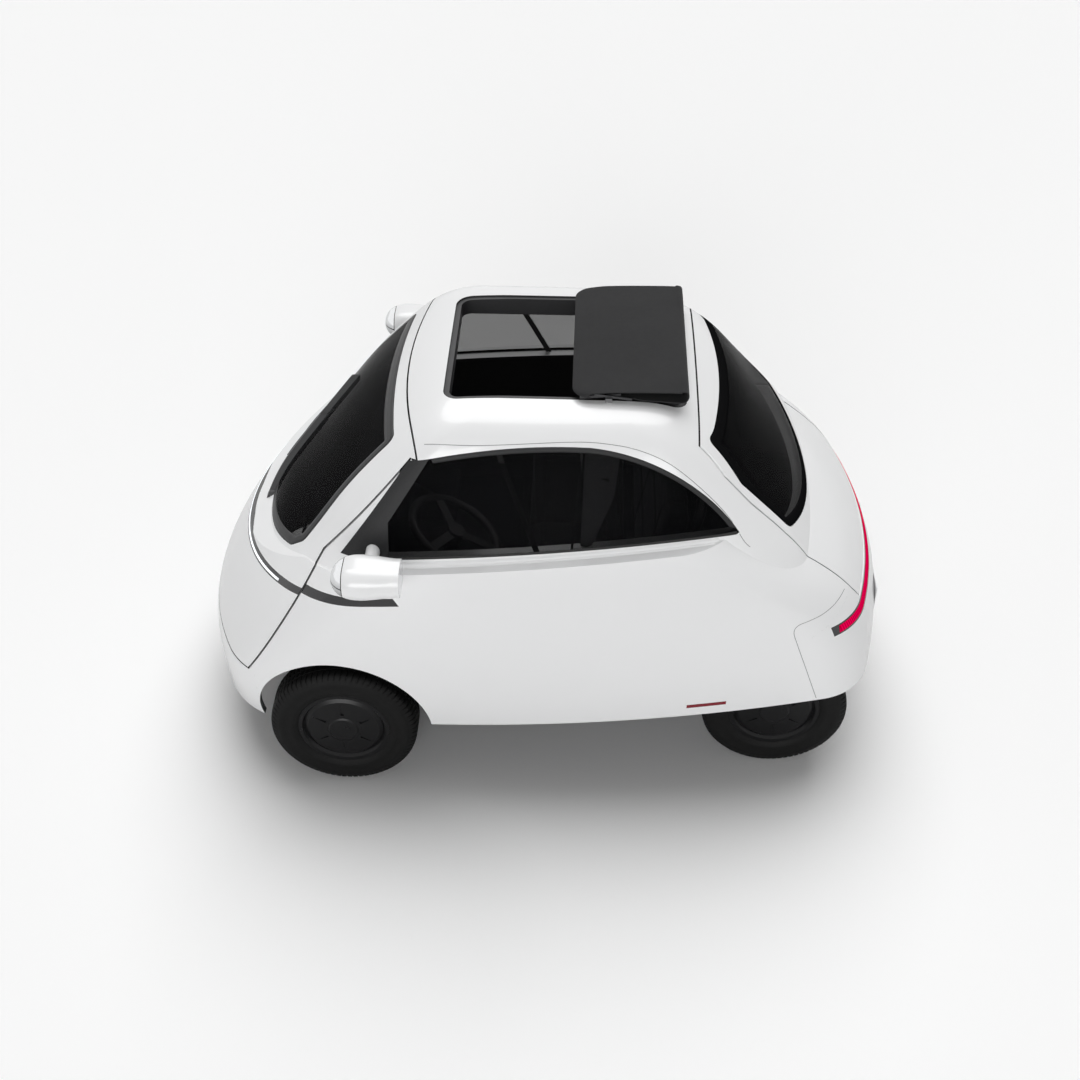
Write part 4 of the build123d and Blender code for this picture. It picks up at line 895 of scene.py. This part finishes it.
def set_fabric_roof():
    """The fabric, folded back: one sheet swept across the opening, drooping to its sides."""
    low, high = (Vector(corner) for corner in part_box("folding_roof"))
    half, front = high.x - 0.001, low.y
    line = smooth_line(fold_line())
    panel = next(i for i, (y, z) in enumerate(line) if y > high.y - 0.03)
    turn = min(range(panel, len(line)), key=lambda i: line[i][0])
    count, corner, columns = len(line), 0.055, 64
    vertices, faces = [], []
    for column in range(columns + 1):
        share = -math.cos(math.pi * column / columns)
        for index, (y, z) in enumerate(line):
            below = index > panel
            reach = ply_reach(y - front, half, below, index > turn)
            x = share * reach
            droop = CROWN * (abs(x) / half) ** 2.2
            over = max(abs(x) - (half - corner), 0.0)
            back = corner - math.sqrt(max(corner ** 2 - over ** 2, 0.0))
            near = max(0.0, 1.0 - (y - front) / 0.10)
            wave = 0.0012 * math.sin(34.0 * x + 9.0 * y) * (1.0 if below else 0.25)
            fold = 0.0 if below else droop
            vertices.append((x, y + back * near, z - fold + wave * (0.4 + 0.6 * abs(share))))
    for column in range(columns):
        for index in range(count - 1):
            start = column * count + index
            faces.append((start, start + 1, start + 1 + count, start + count))
    fabric = new_piece("roof_fabric", vertices, faces, "canvas", "body")
    thick = fabric.modifiers.new("thick", "SOLIDIFY")
    thick.thickness, thick.offset = FABRIC, 0.0
    bpy.context.view_layer.objects.active = fabric
    bpy.ops.object.modifier_apply(modifier=thick.name)
    floor, ceiling = low.z + 0.0006, high.z
    for vertex in fabric.data.vertices:
        vertex.co.z = min(max(vertex.co.z, floor), ceiling)
    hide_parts("folding_roof")


set_seat()
set_fabric_roof()
roof_linkage()


# ------------------------------------------------------------------- camera and light
CAMERA_PLACE = Vector((4.587, 0.151, 4.368))
CAMERA_YAW, CAMERA_PITCH = math.radians(2.081), math.radians(39.404)
FOCAL_PIXELS, FRAME_PIXELS, SENSOR = 1552.6, 1080, 36.0


def set_camera():
    camera = bpy.data.objects.new("camera", bpy.data.cameras.new("camera"))
    bpy.context.scene.collection.objects.link(camera)
    camera.data.sensor_width = SENSOR
    camera.data.lens = FOCAL_PIXELS / FRAME_PIXELS * SENSOR
    camera.data.clip_end = 200.0
    camera.location = CAMERA_PLACE
    view = Vector((-math.cos(CAMERA_YAW) * math.cos(CAMERA_PITCH),
                   -math.sin(CAMERA_YAW) * math.cos(CAMERA_PITCH), -math.sin(CAMERA_PITCH)))
    camera.rotation_euler = view.to_track_quat("-Z", "Y").to_euler()
    bpy.context.scene.camera = camera


def lamp(name, away, strength, spread):
    """An even light from one direction, with soft shadows."""
    light = bpy.data.lights.new(name, "SUN")
    light.energy, light.angle = strength * math.pi, math.radians(spread)
    made = bpy.data.objects.new(name, light)
    made.rotation_euler = (-Vector(away)).to_track_quat("-Z", "Y").to_euler()
    bpy.context.scene.collection.objects.link(made)


def set_world(horizon, zenith):
    """A white room, brighter at the walls than overhead, and seen as plain white."""
    world = bpy.data.worlds.new("room")
    bpy.context.scene.world = world
    world.use_nodes = True
    tree = world.node_tree
    tree.nodes.clear()
    path = tree.nodes.new("ShaderNodeLightPath")
    seen = tree.nodes.new("ShaderNodeMath")
    seen.operation = "MAXIMUM"
    either = tree.nodes.new("ShaderNodeMath")
    either.operation = "MAXIMUM"
    tree.links.new(path.outputs["Is Glossy Ray"], seen.inputs[0])
    tree.links.new(path.outputs["Is Transmission Ray"], seen.inputs[1])
    tree.links.new(path.outputs["Is Camera Ray"], either.inputs[0])
    tree.links.new(seen.outputs[0], either.inputs[1])
    lit_world, white = tree.nodes.new("ShaderNodeBackground"), tree.nodes.new("ShaderNodeBackground")
    lit_world.inputs["Color"].default_value = (1, 1, 1, 1)
    place, split = tree.nodes.new("ShaderNodeTexCoord"), tree.nodes.new("ShaderNodeSeparateXYZ")
    rise = tree.nodes.new("ShaderNodeMapRange")
    rise.inputs["From Max"].default_value = 0.75
    rise.inputs["To Min"].default_value, rise.inputs["To Max"].default_value = horizon, zenith
    tree.links.new(place.outputs["Generated"], split.inputs[0])
    tree.links.new(split.outputs["Z"], rise.inputs["Value"])
    tree.links.new(rise.outputs["Result"], lit_world.inputs["Strength"])
    white.inputs["Color"].default_value = (1, 1, 1, 1)
    mix = tree.nodes.new("ShaderNodeMixShader")
    out = tree.nodes.new("ShaderNodeOutputWorld")
    tree.links.new(either.outputs[0], mix.inputs[0])
    tree.links.new(lit_world.outputs[0], mix.inputs[1])
    tree.links.new(white.outputs[0], mix.inputs[2])
    tree.links.new(mix.outputs[0], out.inputs["Surface"])


def set_floor():
    """A plain pale floor, near white where nothing shades it."""
    half = 30.0
    mesh = bpy.data.meshes.new("ground")
    corners = [(-half, -half, 0), (half, -half, 0), (half, half, 0), (-half, half, 0)]
    mesh.from_pydata(corners, [], [(0, 1, 2, 3)])
    ground = bpy.data.objects.new("ground", mesh)
    bpy.context.scene.collection.objects.link(ground)
    material = bpy.data.materials.new("ground")
    material.use_nodes = True
    tree = material.node_tree
    tree.nodes.clear()
    path = tree.nodes.new("ShaderNodeLightPath")
    pale, white = tree.nodes.new("ShaderNodeBsdfDiffuse"), tree.nodes.new("ShaderNodeBsdfDiffuse")
    pale.inputs["Color"].default_value = (0.8, 0.8, 0.8, 1)
    white.inputs["Color"].default_value = (1, 1, 1, 1)
    mix = tree.nodes.new("ShaderNodeMixShader")
    out = tree.nodes.new("ShaderNodeOutputMaterial")
    tree.links.new(path.outputs["Is Camera Ray"], mix.inputs[0])
    tree.links.new(pale.outputs[0], mix.inputs[1])
    tree.links.new(white.outputs[0], mix.inputs[2])
    tree.links.new(mix.outputs[0], out.inputs["Surface"])
    mesh.materials.append(material)


set_camera()
set_world(0.29, 0.18)
lamp("key", (-0.50, 0.05, 1.0), 0.72, 56.0)
lamp("fill", (1.0, -0.12, 0.14), 0.53, 40.0)
set_floor()
bpy.context.scene.view_settings.view_transform = "Standard"
